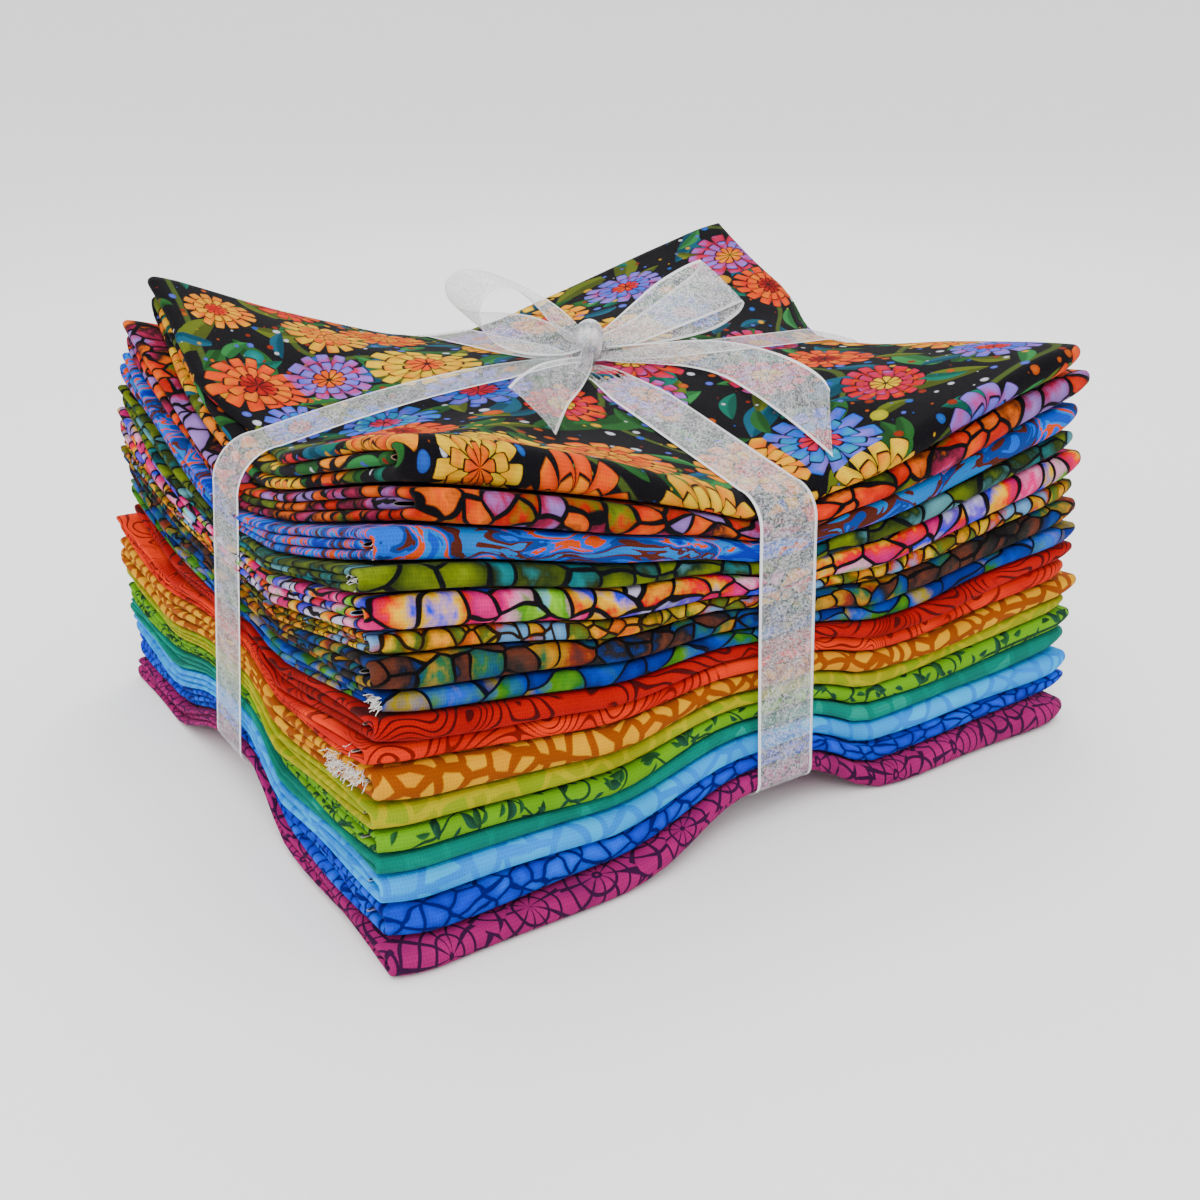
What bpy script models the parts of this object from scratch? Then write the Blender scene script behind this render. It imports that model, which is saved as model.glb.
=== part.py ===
"""A bundle of folded quilting cottons, tied both ways with a sheer ribbon and a bow.

Each cotton is one closed solid: a back-and-forth section of three doubled layers,
wrapped round at the front and folded back at the rear, a little apart from each other.
The ties pull the middle of every side in, so the four corners of the stack stand up.
X runs along the long side, Y from the front to the back, Z up. The lowest cloth rests on Z = 0.
"""

import bpy
import bmesh

MM = 0.001
OBJECT_NAME = "fabric_bundle"

# Size of the folded stack, in millimetres like every other length below.
LONG_SIDE = 229.0
SHORT_SIDE = 195.0
HALF_LONG = LONG_SIDE / 2
HALF_SHORT = SHORT_SIDE / 2

# Height of the top cloth: at its middle, where the ties cross each edge, and at the corners.
CENTRE_HEIGHT = 108.0
FRONT_DIP, BACK_DIP = 89.0, 96.0
LEFT_DIP, RIGHT_DIP = 97.5, 103.0
FRONT_LEFT, FRONT_RIGHT = 126.0, 118.0
BACK_LEFT, BACK_RIGHT = 129.0, 133.0

# Height of the lowest cloth: over the ties, and where they lift its edges.
TIE_GROOVE = 1.8
END_LIFT = 9.0
SIDE_LIFT = 11.0
TIE_PULL = 2.0

# Where the cloth bends: half of the flat under a tie, then the stations across and along.
FLAT = 10.0
BEND_X = 55.0
END_X = 104.0
BEND_Y = 36.0
END_Y = 86.0

# Folding of one cotton.
LAYERS = 3
LAYER_GAP = 0.45
CLOTH_GAP = 0.65
LOBE_LENGTH = 2.0
LOBE_PLUMPNESS = 0.4
RIGHT_TAPER = 0.62
FRONT_ROUND = 1.5
TUCK_FROM_FRONT = 13.5
BACK_ROUND = 0.9
BACK_INNER = 3.0

# Share of a layer's half thickness left at the shoulders of its folds, and inside the wrap.
FRONT_SHOULDER = 0.85
BACK_SHOULDER = 0.6
WRAP_INSIDE = 0.4

# Plain finishes.
CLOTH_ROUGHNESS = 0.85
RIBBON_ROUGHNESS = 0.35
RIBBON_ALPHA = 0.6

# One row a cotton, from the top of the stack down.
# loft: its height at a corner; left, right, front, back: how far each edge stands in;
# skew: how far its back stands to the right of its front; colour: the main colour of its print.
COTTONS = (
    {"name": "cotton_01_black_garden", "loft": 11.5, "left": 5.5, "right": 5.0, "front": 2.0, "back": 3.0,
     "skew": 1.0, "colour": "#2b262b"},
    {"name": "cotton_02_black_cells", "loft": 8.0, "left": 4.0, "right": 3.5, "front": 0.5, "back": 4.0,
     "skew": 0.5, "colour": "#7a2a22"},
    {"name": "cotton_03_blue_marble", "loft": 8.9, "left": 2.0, "right": 4.5, "front": 1.0, "back": 2.0,
     "skew": 0.0, "colour": "#2b6fc4"},
    {"name": "cotton_04_teal_leaf", "loft": 8.0, "left": 0.0, "right": 4.0, "front": 1.5, "back": 3.5,
     "skew": 0.0, "colour": "#2c5a55"},
    {"name": "cotton_05_bright_cells", "loft": 7.8, "left": 1.5, "right": 2.0, "front": 0.5, "back": 1.0,
     "skew": 0.0, "colour": "#a9b8d8"},
    {"name": "cotton_06_gold_moss", "loft": 5.5, "left": 2.5, "right": 3.5, "front": 2.5, "back": 3.0,
     "skew": 0.5, "colour": "#a37a22"},
    {"name": "cotton_07_charcoal_stones", "loft": 7.6, "left": 2.5, "right": 1.5, "front": 1.0, "back": 0.5,
     "skew": 0.0, "colour": "#3a3632"},
    {"name": "cotton_08_royal_stones", "loft": 6.6, "left": 4.5, "right": 1.0, "front": 1.5, "back": 2.5,
     "skew": -0.5, "colour": "#22489c"},
    {"name": "cotton_09_red_swirl", "loft": 8.0, "left": 2.0, "right": 2.5, "front": 0.0, "back": 3.0,
     "skew": 0.0, "colour": "#b8301f"},
    {"name": "cotton_10_orange_swirl", "loft": 6.4, "left": 0.5, "right": 4.0, "front": 1.5, "back": 1.5,
     "skew": 0.0, "colour": "#d9401c"},
    {"name": "cotton_11_gold_pebble", "loft": 7.3, "left": 1.5, "right": 0.0, "front": 0.5, "back": 4.0,
     "skew": 0.0, "colour": "#cf8f1d"},
    {"name": "cotton_12_lime", "loft": 6.0, "left": 1.0, "right": 3.0, "front": 2.0, "back": 0.0,
     "skew": 0.0, "colour": "#a7b32b"},
    {"name": "cotton_13_green_vine", "loft": 6.4, "left": 4.0, "right": 1.0, "front": 1.5, "back": 3.0,
     "skew": 0.5, "colour": "#78a52a"},
    {"name": "cotton_14_teal", "loft": 5.3, "left": 1.0, "right": 2.0, "front": 2.5, "back": 2.0,
     "skew": 0.0, "colour": "#1f8a7c"},
    {"name": "cotton_15_sky", "loft": 7.6, "left": 0.5, "right": 1.0, "front": 1.0, "back": 3.5,
     "skew": 0.0, "colour": "#56a8e4"},
    {"name": "cotton_16_blue_pebble", "loft": 5.7, "left": 2.0, "right": 1.0, "front": 2.0, "back": 1.0,
     "skew": 0.0, "colour": "#1f5fd0"},
    {"name": "cotton_17_magenta_fan", "loft": 9.4, "left": 3.0, "right": 1.5, "front": 1.5, "back": 3.0,
     "skew": 0.0, "colour": "#8e2f66"},
)
STACK_LOFT = sum(cotton["loft"] for cotton in COTTONS)

# The ribbon, and its clear distance to the cloth.
RIBBON_NAME = "ribbon"
RIBBON_COLOUR = "#e9eaec"
RIBBON_WIDTH = 19.0
RIBBON_THICKNESS = 1.0
RIBBON_GAP = 0.35
TIE_STANDOFF = RIBBON_GAP + RIBBON_THICKNESS / 2
TIE_SHOULDER = 4.5
TIE_ROUND = 1.3
CROSSING_STEP = 0.08
KNOT_CENTRE = (2.0, -1.0, 114.4)
KNOT_RADII = (8.5, 7.0, 6.0)

# Bow loops, one row a section, from the knot out and back to it, measured from the knot's middle.
# near and far are the two edges of the ribbon: along X, along Y, up.
LEFT_LOOP = (
    {"near": (0.0, -1.5, 2.0), "far": (1.0, 4.0, 3.0)},
    {"near": (-1.0, 1.0, 8.0), "far": (3.0, 12.0, 10.0)},
    {"near": (-9.0, 1.5, 14.5), "far": (-5.0, 18.5, 16.0)},
    {"near": (-21.0, 2.5, 20.0), "far": (-18.0, 21.0, 21.0)},
    {"near": (-32.0, 3.5, 22.5), "far": (-30.0, 22.0, 23.5)},
    {"near": (-39.5, 4.0, 20.0), "far": (-38.0, 22.5, 21.0)},
    {"near": (-41.5, 4.0, 15.5), "far": (-40.0, 22.5, 16.5)},
    {"near": (-38.0, 3.0, 9.5), "far": (-37.0, 21.5, 11.0)},
    {"near": (-29.0, 1.0, 3.8), "far": (-28.5, 19.5, 5.5)},
    {"near": (-18.0, -2.0, 1.2), "far": (-18.0, 15.0, 2.5)},
    {"near": (-9.0, -3.5, 0.4), "far": (-9.0, 8.0, 0.8)},
    {"near": (0.0, -3.0, -1.0), "far": (0.0, 3.0, -1.0)},
)
RIGHT_LOOP = (
    {"near": (0.0, -3.0, 1.5), "far": (0.0, 3.0, 4.0)},
    {"near": (10.0, -4.5, 4.0), "far": (8.0, 6.0, 8.0)},
    {"near": (22.0, -4.5, 6.0), "far": (17.0, 9.5, 12.0)},
    {"near": (36.0, -4.0, 6.0), "far": (31.0, 10.5, 14.5)},
    {"near": (48.0, -4.0, 5.0), "far": (43.0, 11.5, 15.0)},
    {"near": (50.0, -4.5, 3.2), "far": (45.0, 11.0, 13.0)},
    {"near": (47.0, -5.5, 0.6), "far": (42.0, 10.5, 9.6)},
    {"near": (34.0, -6.5, -0.6), "far": (29.0, 9.5, 5.4)},
    {"near": (20.0, -6.5, -0.4), "far": (16.0, 7.5, 3.0)},
    {"near": (9.0, -4.5, -0.6), "far": (8.0, 4.5, 1.0)},
    {"near": (0.0, -3.0, -1.5), "far": (0.0, 3.0, -1.0)},
)

# Bow tails, from the knot to the slanted cut. Along X, along Y, and the rise above the cloth.
LONG_TAIL = (
    {"near": (3.0, -5.0, 5.0), "far": (6.0, 1.0, 6.0)},
    {"near": (13.0, -17.0, 4.2), "far": (19.0, -5.0, 5.5)},
    {"near": (22.0, -25.0, 3.6), "far": (34.0, -11.0, 6.0)},
    {"near": (27.0, -36.0, 3.6), "far": (43.0, -25.0, 6.0)},
    {"near": (27.0, -50.0, 4.4), "far": (45.5, -41.0, 6.5)},
    {"near": (24.0, -69.0, 4.0), "far": (44.5, -52.0, 7.0)},
    {"near": (20.0, -87.0, 2.6), "far": (43.0, -60.0, 6.5)},
)
SHORT_TAIL = (
    {"near": (0.0, -6.0, 5.0), "far": (-4.0, -3.0, 5.5)},
    {"near": (-8.0, -15.0, 3.2), "far": (-14.0, -9.0, 4.6)},
    {"near": (-17.0, -25.0, 3.4), "far": (-26.5, -12.0, 6.0)},
    {"near": (-28.0, -37.0, 3.6), "far": (-36.5, -19.0, 6.8)},
    {"near": (-48.0, -61.0, 3.8), "far": (-40.5, -23.5, 6.6)},
)


def share_beyond(distance, start, end):
    """How far a distance lies on the way from start to end: 0 up to start, 1 at end."""
    return max(abs(distance) - start, 0.0) / (end - start)


def top_height(x, y):
    """Height of the stack's top: four flat valleys meet at the middle, with ridges to the corners."""
    along = share_beyond(x, FLAT, HALF_LONG)
    across = share_beyond(y, FLAT, HALF_SHORT)
    side = LEFT_DIP if x < 0 else RIGHT_DIP
    end = FRONT_DIP if y < 0 else BACK_DIP
    left, right = (FRONT_LEFT, FRONT_RIGHT) if y < 0 else (BACK_LEFT, BACK_RIGHT)
    corner = left if x < 0 else right
    inner = CENTRE_HEIGHT * (1 - along) + side * along
    outer = end * (1 - along) + corner * along
    return inner * (1 - across) + outer * across


def bottom_height(x, y):
    """Height of the stack's underside: flat on the floor, raised over the ties."""
    near_long_tie = 1 - min(share_beyond(x, FLAT, BEND_X), 1)
    near_side_tie = 1 - min(share_beyond(y, FLAT, BEND_Y), 1)
    end_lift = END_LIFT * near_long_tie * share_beyond(y, BEND_Y, HALF_SHORT)
    side_lift = SIDE_LIFT * near_side_tie * share_beyond(x, BEND_X, HALF_LONG)
    return TIE_GROOVE * max(near_long_tie, near_side_tie) + end_lift + side_lift


def height_in_stack(x, y, level):
    """Height of a point that lies at a level of the stack, from 0 at the floor to 1 at the top."""
    low = bottom_height(x, y)
    return low + (top_height(x, y) - low) * level


def fold_outline(cotton, x, plumpness, taper):
    """Outline of a folded cotton seen from its left end, as (y, level) pairs.

    It runs along the lower layer to the front, up round the wrap, back along the upper layer,
    and then in along the gaps round the middle layer, which is tucked in from the back.
    plumpness thins each layer about its own middle, and taper brings all three together.
    """
    gap = LAYER_GAP / cotton["loft"]
    layer = (1 - (LAYERS - 1) * gap) / LAYERS
    lower, middle, upper = layer / 2, 0.5, 1 - layer / 2
    half = layer / 2 * plumpness
    wall = layer * cotton["loft"] * plumpness
    pull = TIE_PULL * (1 - min(share_beyond(x, FLAT, BEND_X), 1))
    front = -HALF_SHORT + cotton["front"] + pull
    back = HALF_SHORT - cotton["back"] - pull
    tuck = -HALF_SHORT + TUCK_FROM_FRONT
    across = (-END_Y, -BEND_Y, -FLAT, FLAT, BEND_Y, END_Y)
    inner_across = across[1:]
    bend = (lower + middle) / 2

    outline = [(y, lower - half) for y in reversed(across)]
    outline += [(front + FRONT_ROUND, lower - half * FRONT_SHOULDER), (front, lower), (front, upper),
                (front + FRONT_ROUND, upper + half * FRONT_SHOULDER)]
    outline += [(y, upper + half) for y in across]
    outline += [(back, upper + half * BACK_SHOULDER), (back, upper - half * BACK_SHOULDER)]
    outline += [(y, upper - half) for y in reversed(across)]
    outline += [(front + wall, middle + layer * WRAP_INSIDE), (front + wall, middle - layer * WRAP_INSIDE)]
    outline += [(y, lower + half) for y in across]
    outline += [(back - BACK_INNER, bend)]
    outline += [(y, middle - half) for y in reversed(inner_across)]
    outline += [(tuck + BACK_ROUND, middle - half), (tuck, middle), (tuck + BACK_ROUND, middle + half)]
    outline += [(y, middle + half) for y in inner_across]
    outline += [(back - BACK_ROUND, middle + half * BACK_SHOULDER), (back, bend),
                (back - BACK_ROUND, lower - half * BACK_SHOULDER)]
    return [(y, 0.5 + (level - 0.5) * taper) for y, level in outline]


def cotton_stations(cotton):
    """Places along X where a cotton's outline is set, each with its plumpness and taper."""
    left = -HALF_LONG + cotton["left"]
    right = HALF_LONG - cotton["right"]
    return (
        (left, LOBE_PLUMPNESS, 1.0),
        (left + LOBE_LENGTH, 1.0, 1.0),
        (-BEND_X, 1.0, 1.0),
        (-FLAT, 1.0, 1.0),
        (FLAT, 1.0, 1.0),
        (BEND_X, 1.0, 1.0),
        (min(END_X, right - LOBE_LENGTH), 1.0, 1.0),
        (right, 1.0, RIGHT_TAPER),
    )


def cotton_mesh(cotton, floor_level, ceiling_level):
    """The folded solid of one cotton between two levels of the stack."""
    bm = bmesh.new()
    ring = []
    for x, plumpness, taper in cotton_stations(cotton):
        outline = fold_outline(cotton, x, plumpness, taper)
        if ring:
            ring = extrude_ring(bm, ring)
        else:
            ring = bmesh.ops.create_circle(bm, segments=len(outline), radius=1, cap_ends=True)["verts"]
        for vertex, (y, share) in zip(ring, outline):
            level = floor_level + (ceiling_level - floor_level) * share
            sway = cotton["skew"] * y / HALF_SHORT if abs(x) > BEND_X else 0.0
            place_x = max(-HALF_LONG, min(HALF_LONG, x + sway))
            vertex.co = (place_x * MM, y * MM, height_in_stack(place_x, y, level) * MM)
    bm.faces.new(ring)
    split_towards_corners(bm)
    bmesh.ops.recalc_face_normals(bm, faces=bm.faces)
    return finish_mesh(bm, cotton["name"])


def split_towards_corners(bm):
    """Split each four-sided face from the stack's middle outwards, so that stacked faces match."""
    for face in [face for face in bm.faces if len(face.verts) == 4]:
        corners = list(face.verts)
        reach = [(round(abs(v.co.x) + abs(v.co.y), 6), v.co.x, v.co.y) for v in corners]
        outer = reach.index(max(reach))
        bmesh.utils.face_split(face, corners[outer], corners[(outer + 2) % 4])


def extrude_ring(bm, ring):
    """Extrude a closed ring of vertices and give the new ring in the same order."""
    members = set(ring)
    edges = {edge for vertex in ring for edge in vertex.link_edges if members.issuperset(edge.verts)}
    moved = bmesh.ops.extrude_edge_only(bm, edges=list(edges))["geom"]
    fresh = {item for item in moved if isinstance(item, bmesh.types.BMVert)}
    return [next(edge.other_vert(vertex) for edge in vertex.link_edges if edge.other_vert(vertex) in fresh)
            for vertex in ring]


def finish_mesh(bm, name):
    """Turn a bmesh into mesh data."""
    mesh = bpy.data.meshes.new(name)
    bm.to_mesh(mesh)
    bm.free()
    return mesh


def surface_material(name, hex_colour, roughness, alpha=1.0):
    """A plain Principled material from an sRGB hex colour."""
    channels = [int(hex_colour[i:i + 2], 16) / 255 for i in (1, 3, 5)]
    linear = [c / 12.92 if c <= 0.04045 else ((c + 0.055) / 1.055) ** 2.4 for c in channels]
    material = bpy.data.materials.new(name)
    material.use_nodes = True
    shader = material.node_tree.nodes["Principled BSDF"]
    shader.inputs["Base Color"].default_value = (*linear, 1.0)
    shader.inputs["Roughness"].default_value = roughness
    shader.inputs["Metallic"].default_value = 0.0
    shader.inputs["Alpha"].default_value = alpha
    return material


def add_object(name, mesh, collection, material=None):
    """Link a mesh to a collection under the name of its sub-part."""
    item = bpy.data.objects.new(name, mesh)
    if material:
        mesh.materials.append(material)
    collection.objects.link(item)
    return item


def ribbon_strip(name, rows):
    """An open strip of ribbon whose two edges follow the rows, thickened about its middle."""
    bm = bmesh.new()
    bmesh.ops.create_grid(bm, x_segments=1, y_segments=len(rows) - 1, size=1)
    ordered = sorted(bm.verts, key=lambda vertex: (round(vertex.co.y, 4), vertex.co.x))
    for index, row in enumerate(rows):
        ordered[2 * index].co = [value * MM for value in row["near"]]
        ordered[2 * index + 1].co = [value * MM for value in row["far"]]
    return finish_mesh(bm, name)


def ribbon_ring(name, route, along_x):
    """A closed tie that goes once round the stack: the route gives (distance, height) pairs."""
    bm = bmesh.new()
    first_edge = bmesh.ops.create_circle(bm, segments=len(route), radius=1)["verts"]
    second_edge = extrude_ring(bm, first_edge)
    for ring, offset in ((first_edge, -RIBBON_WIDTH / 2), (second_edge, RIBBON_WIDTH / 2)):
        for vertex, (distance, height) in zip(ring, route):
            place = (distance, offset, height) if along_x else (offset, distance, height)
            vertex.co = [value * MM for value in place]
    return finish_mesh(bm, name)


def tie_half(along_x, cloth_face, bend, sign):
    """Half of a tie's route, from the middle of the top over one edge to the middle below."""
    face = cloth_face + TIE_STANDOFF
    shoulder = face - TIE_SHOULDER
    flank = face - TIE_ROUND

    def over(distance):
        place = (sign * distance, 0.0) if along_x else (0.0, sign * distance)
        return top_height(*place) + TIE_STANDOFF

    def under(distance):
        place = (sign * distance, 0.0) if along_x else (0.0, sign * distance)
        return bottom_height(*place) - TIE_STANDOFF

    return (
        (sign * FLAT, over(FLAT)),
        (sign * shoulder, over(shoulder)),
        (sign * flank, over(shoulder) - TIE_ROUND),
        (sign * face, over(shoulder) - TIE_SHOULDER),
        (sign * face, under(shoulder) + TIE_SHOULDER),
        (sign * flank, under(shoulder) + TIE_ROUND),
        (sign * shoulder, under(shoulder)),
        (sign * bend, under(bend)),
    )


def tie_route(along_x, cloth_face, bend, step):
    """Route of a whole tie, shifted by a small step so that two ties never share a face."""
    first = tie_half(along_x, cloth_face, bend, -1)
    second = tie_half(along_x, cloth_face, bend, 1)
    return [(distance, height + step) for distance, height in first + tuple(reversed(second))]


def over_cloth(rows):
    """Rows whose third value is a rise above the cloth, with that value turned to a height."""
    return [{edge: (x, y, top_height(x, y) + rise) for edge, (x, y, rise) in row.items()} for row in rows]


def from_knot(rows):
    """Rows measured from the knot's middle, moved to the stack's frame."""
    return [{edge: tuple(a + b for a, b in zip(place, KNOT_CENTRE)) for edge, place in row.items()}
            for row in rows]


def knot_mesh(name):
    """The gathered knot in the middle of the bow."""
    bm = bmesh.new()
    bmesh.ops.create_uvsphere(bm, u_segments=12, v_segments=8, radius=1)
    for vertex in bm.verts:
        vertex.co = [(centre + radius * value) * MM
                     for centre, radius, value in zip(KNOT_CENTRE, KNOT_RADII, vertex.co)]
    return finish_mesh(bm, name)


def thicken(item):
    """Give an open strip the ribbon's thickness, half to each side."""
    solidify = item.modifiers.new("ribbon thickness", "SOLIDIFY")
    solidify.thickness = RIBBON_THICKNESS * MM
    solidify.offset = 0.0
    solidify.use_even_offset = True


def build_cottons(collection):
    """Stack the folded cottons from the top down."""
    ceiling = STACK_LOFT
    for cotton in COTTONS:
        floor = ceiling - cotton["loft"]
        lower_gap = 0.0 if cotton is COTTONS[-1] else CLOTH_GAP
        mesh = cotton_mesh(cotton, (floor + lower_gap) / STACK_LOFT, ceiling / STACK_LOFT)
        material = surface_material(cotton["name"], cotton["colour"], CLOTH_ROUGHNESS)
        add_object(cotton["name"], mesh, collection, material)
        ceiling = floor


def build_ribbon(collection, helpers):
    """One ribbon: two ties round the stack, the knot, two loops and two tails, joined together."""
    ends_route = tie_route(False, HALF_SHORT - TIE_PULL, BEND_Y, 0.0)
    sides_route = tie_route(True, HALF_LONG, BEND_X, CROSSING_STEP)
    ribbon = add_object(RIBBON_NAME, ribbon_ring(RIBBON_NAME, ends_route, False), collection,
                        surface_material(RIBBON_NAME, RIBBON_COLOUR, RIBBON_ROUGHNESS, RIBBON_ALPHA))
    thicken(ribbon)
    joined = (
        ("tie_over_sides", ribbon_ring("tie_over_sides", sides_route, True), True),
        ("bow_knot", knot_mesh("bow_knot"), False),
        ("bow_left_loop", ribbon_strip("bow_left_loop", from_knot(LEFT_LOOP)), True),
        ("bow_right_loop", ribbon_strip("bow_right_loop", from_knot(RIGHT_LOOP)), True),
        ("bow_long_tail", ribbon_strip("bow_long_tail", over_cloth(LONG_TAIL)), True),
        ("bow_short_tail", ribbon_strip("bow_short_tail", over_cloth(SHORT_TAIL)), True),
    )
    for name, mesh, is_strip in joined:
        helper = add_object(name, mesh, helpers)
        helper.hide_render = True
        helper.display_type = "WIRE"
        if is_strip:
            thicken(helper)
        union = ribbon.modifiers.new("join " + name, "BOOLEAN")
        union.operation = "UNION"
        union.solver = "EXACT"
        union.object = helper


def main():
    """Clear the scene and build the bundle."""
    for item in list(bpy.data.objects):
        bpy.data.objects.remove(item, do_unlink=True)
    parts = bpy.data.collections.new(OBJECT_NAME)
    helpers = bpy.data.collections.new("helpers")
    bpy.context.scene.collection.children.link(parts)
    bpy.context.scene.collection.children.link(helpers)
    build_cottons(parts)
    build_ribbon(parts, helpers)


main()
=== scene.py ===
"""Looks of a bundle of folded quilting cottons, tied both ways with a sheer ribbon and a bow.

Every cotton is one thin sheet: doubled, with that fold at the left end, then wrapped round
the front and folded back at the rear, so that six plies lie on each other. The sheets share the
valleys and ridges of the solids that they stand for. The tables are in millimetres, and the
meshes in metres. X runs along the long side, Y from the front to the back, Z up.
"""

import logging
import math
from dataclasses import dataclass, replace
from enum import Enum

import bmesh
import bpy
import numpy as np
from mathutils import Matrix, Vector

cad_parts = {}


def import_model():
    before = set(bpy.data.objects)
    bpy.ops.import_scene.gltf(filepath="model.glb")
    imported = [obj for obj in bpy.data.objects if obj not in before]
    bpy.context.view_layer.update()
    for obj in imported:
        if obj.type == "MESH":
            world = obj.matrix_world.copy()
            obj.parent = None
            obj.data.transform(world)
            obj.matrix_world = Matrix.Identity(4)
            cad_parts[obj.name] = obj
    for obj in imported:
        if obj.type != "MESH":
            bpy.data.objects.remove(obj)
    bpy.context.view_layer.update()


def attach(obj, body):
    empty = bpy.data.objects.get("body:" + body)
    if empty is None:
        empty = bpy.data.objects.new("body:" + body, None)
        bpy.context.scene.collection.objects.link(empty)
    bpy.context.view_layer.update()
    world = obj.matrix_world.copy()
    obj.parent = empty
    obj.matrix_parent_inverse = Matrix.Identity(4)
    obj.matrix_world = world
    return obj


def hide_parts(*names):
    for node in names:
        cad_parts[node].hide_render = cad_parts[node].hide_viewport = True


LOG = logging.getLogger("fabric_bundle")
MM = 0.001
BODY = "root"
CUT_LENGTH = 559.0
CUT_WIDTH = 457.0
CLOTH_THICKNESS = 0.30
RIBBON_NODE = "ribbon"
RIBBON_WIDTH = 19.0
Socket = bpy.types.NodeSocket
Stops = tuple[tuple[float, str], ...]
Pair = tuple[float, float]


def linear_colour(hex_colour: str) -> tuple[float, float, float, float]:
    """Turn an sRGB hex colour to a linear one.

    Args:
        hex_colour: A colour such as "#7a2a22".

    Returns:
        Linear red, green and blue, and an alpha of 1.
    """
    channels = [int(hex_colour[i:i + 2], 16) / 255 for i in (1, 3, 5)]
    return (*(c / 12.92 if c <= 0.04045 else ((c + 0.055) / 1.055) ** 2.4 for c in channels), 1.0)


@dataclass(frozen=True)
class NodeBench:
    """A material's node tree, and the one way in which nodes are put into it."""

    tree: bpy.types.NodeTree

    def add(self, kind: str, inputs: dict | None = None, out: int | str = 0,
            stops: Stops = (), stepped: bool = False,
            **settings: object) -> Socket:
        """Add one node.

        Args:
            kind: Blender's name of the node type, without its ShaderNode prefix.
            inputs: Sockets to link from, or values, for the node's inputs.
            out: The output to give back, by name or number.
            stops: Places and hex colours of a colour ramp.
            stepped: Whether the ramp changes in steps.
            settings: The node's own properties.

        Returns:
            The chosen output socket.
        """
        node = self.tree.nodes.new("ShaderNode" + kind)
        for name, value in settings.items():
            setattr(node, name, value)
        for name, value in (inputs or {}).items():
            if isinstance(value, Socket):
                self.tree.links.new(value, node.inputs[name])
            else:
                node.inputs[name].default_value = value
        if stops:
            ramp = node.color_ramp
            ramp.interpolation = "CONSTANT" if stepped else "LINEAR"
            for place, colour in stops[2:]:
                ramp.elements.new(place)
            for element, (place, colour) in zip(ramp.elements, stops):
                element.position = place
                element.color = linear_colour(colour)
        return node.outputs[out]


def start_material(name: str, values: dict) -> tuple[bpy.types.Material, NodeBench, bpy.types.Node]:
    """Start a material.

    Args:
        name: Name of the material.
        values: Values of its shader's inputs, by name.

    Returns:
        The material, its node bench and its shader.
    """
    material = bpy.data.materials.new(name)
    material.use_nodes = True
    shader = material.node_tree.nodes["Principled BSDF"]
    for key, value in values.items():
        shader.inputs[key].default_value = value
    return material, NodeBench(material.node_tree), shader


def smooth_mesh(bm: bmesh.types.BMesh, name: str) -> bpy.types.Mesh:
    """Turn a bmesh to a smooth mesh, and free it."""
    mesh = bpy.data.meshes.new(name)
    bm.to_mesh(mesh)
    bm.free()
    mesh.shade_smooth()
    return mesh


def rising(value: np.ndarray, start: float, end: float) -> np.ndarray:
    """Give 0 up to start, rising evenly to 1 at end."""
    return np.clip((value - start) / (end - start), 0, 1)


class Print(Enum):
    """The kinds of print on the cottons."""

    GARDEN = "scattered flowers, leaves and dots on a dark ground"
    CELLS = "mixed cells with dark outlines"
    MARBLE = "marbled strokes"
    LEAVES = "leaves on a plain ground"
    SWIRL = "curved lines"
    PEBBLE = "pebbles on a plain ground"
    SCALLOP = "rows of ribs round scattered centres"


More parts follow.
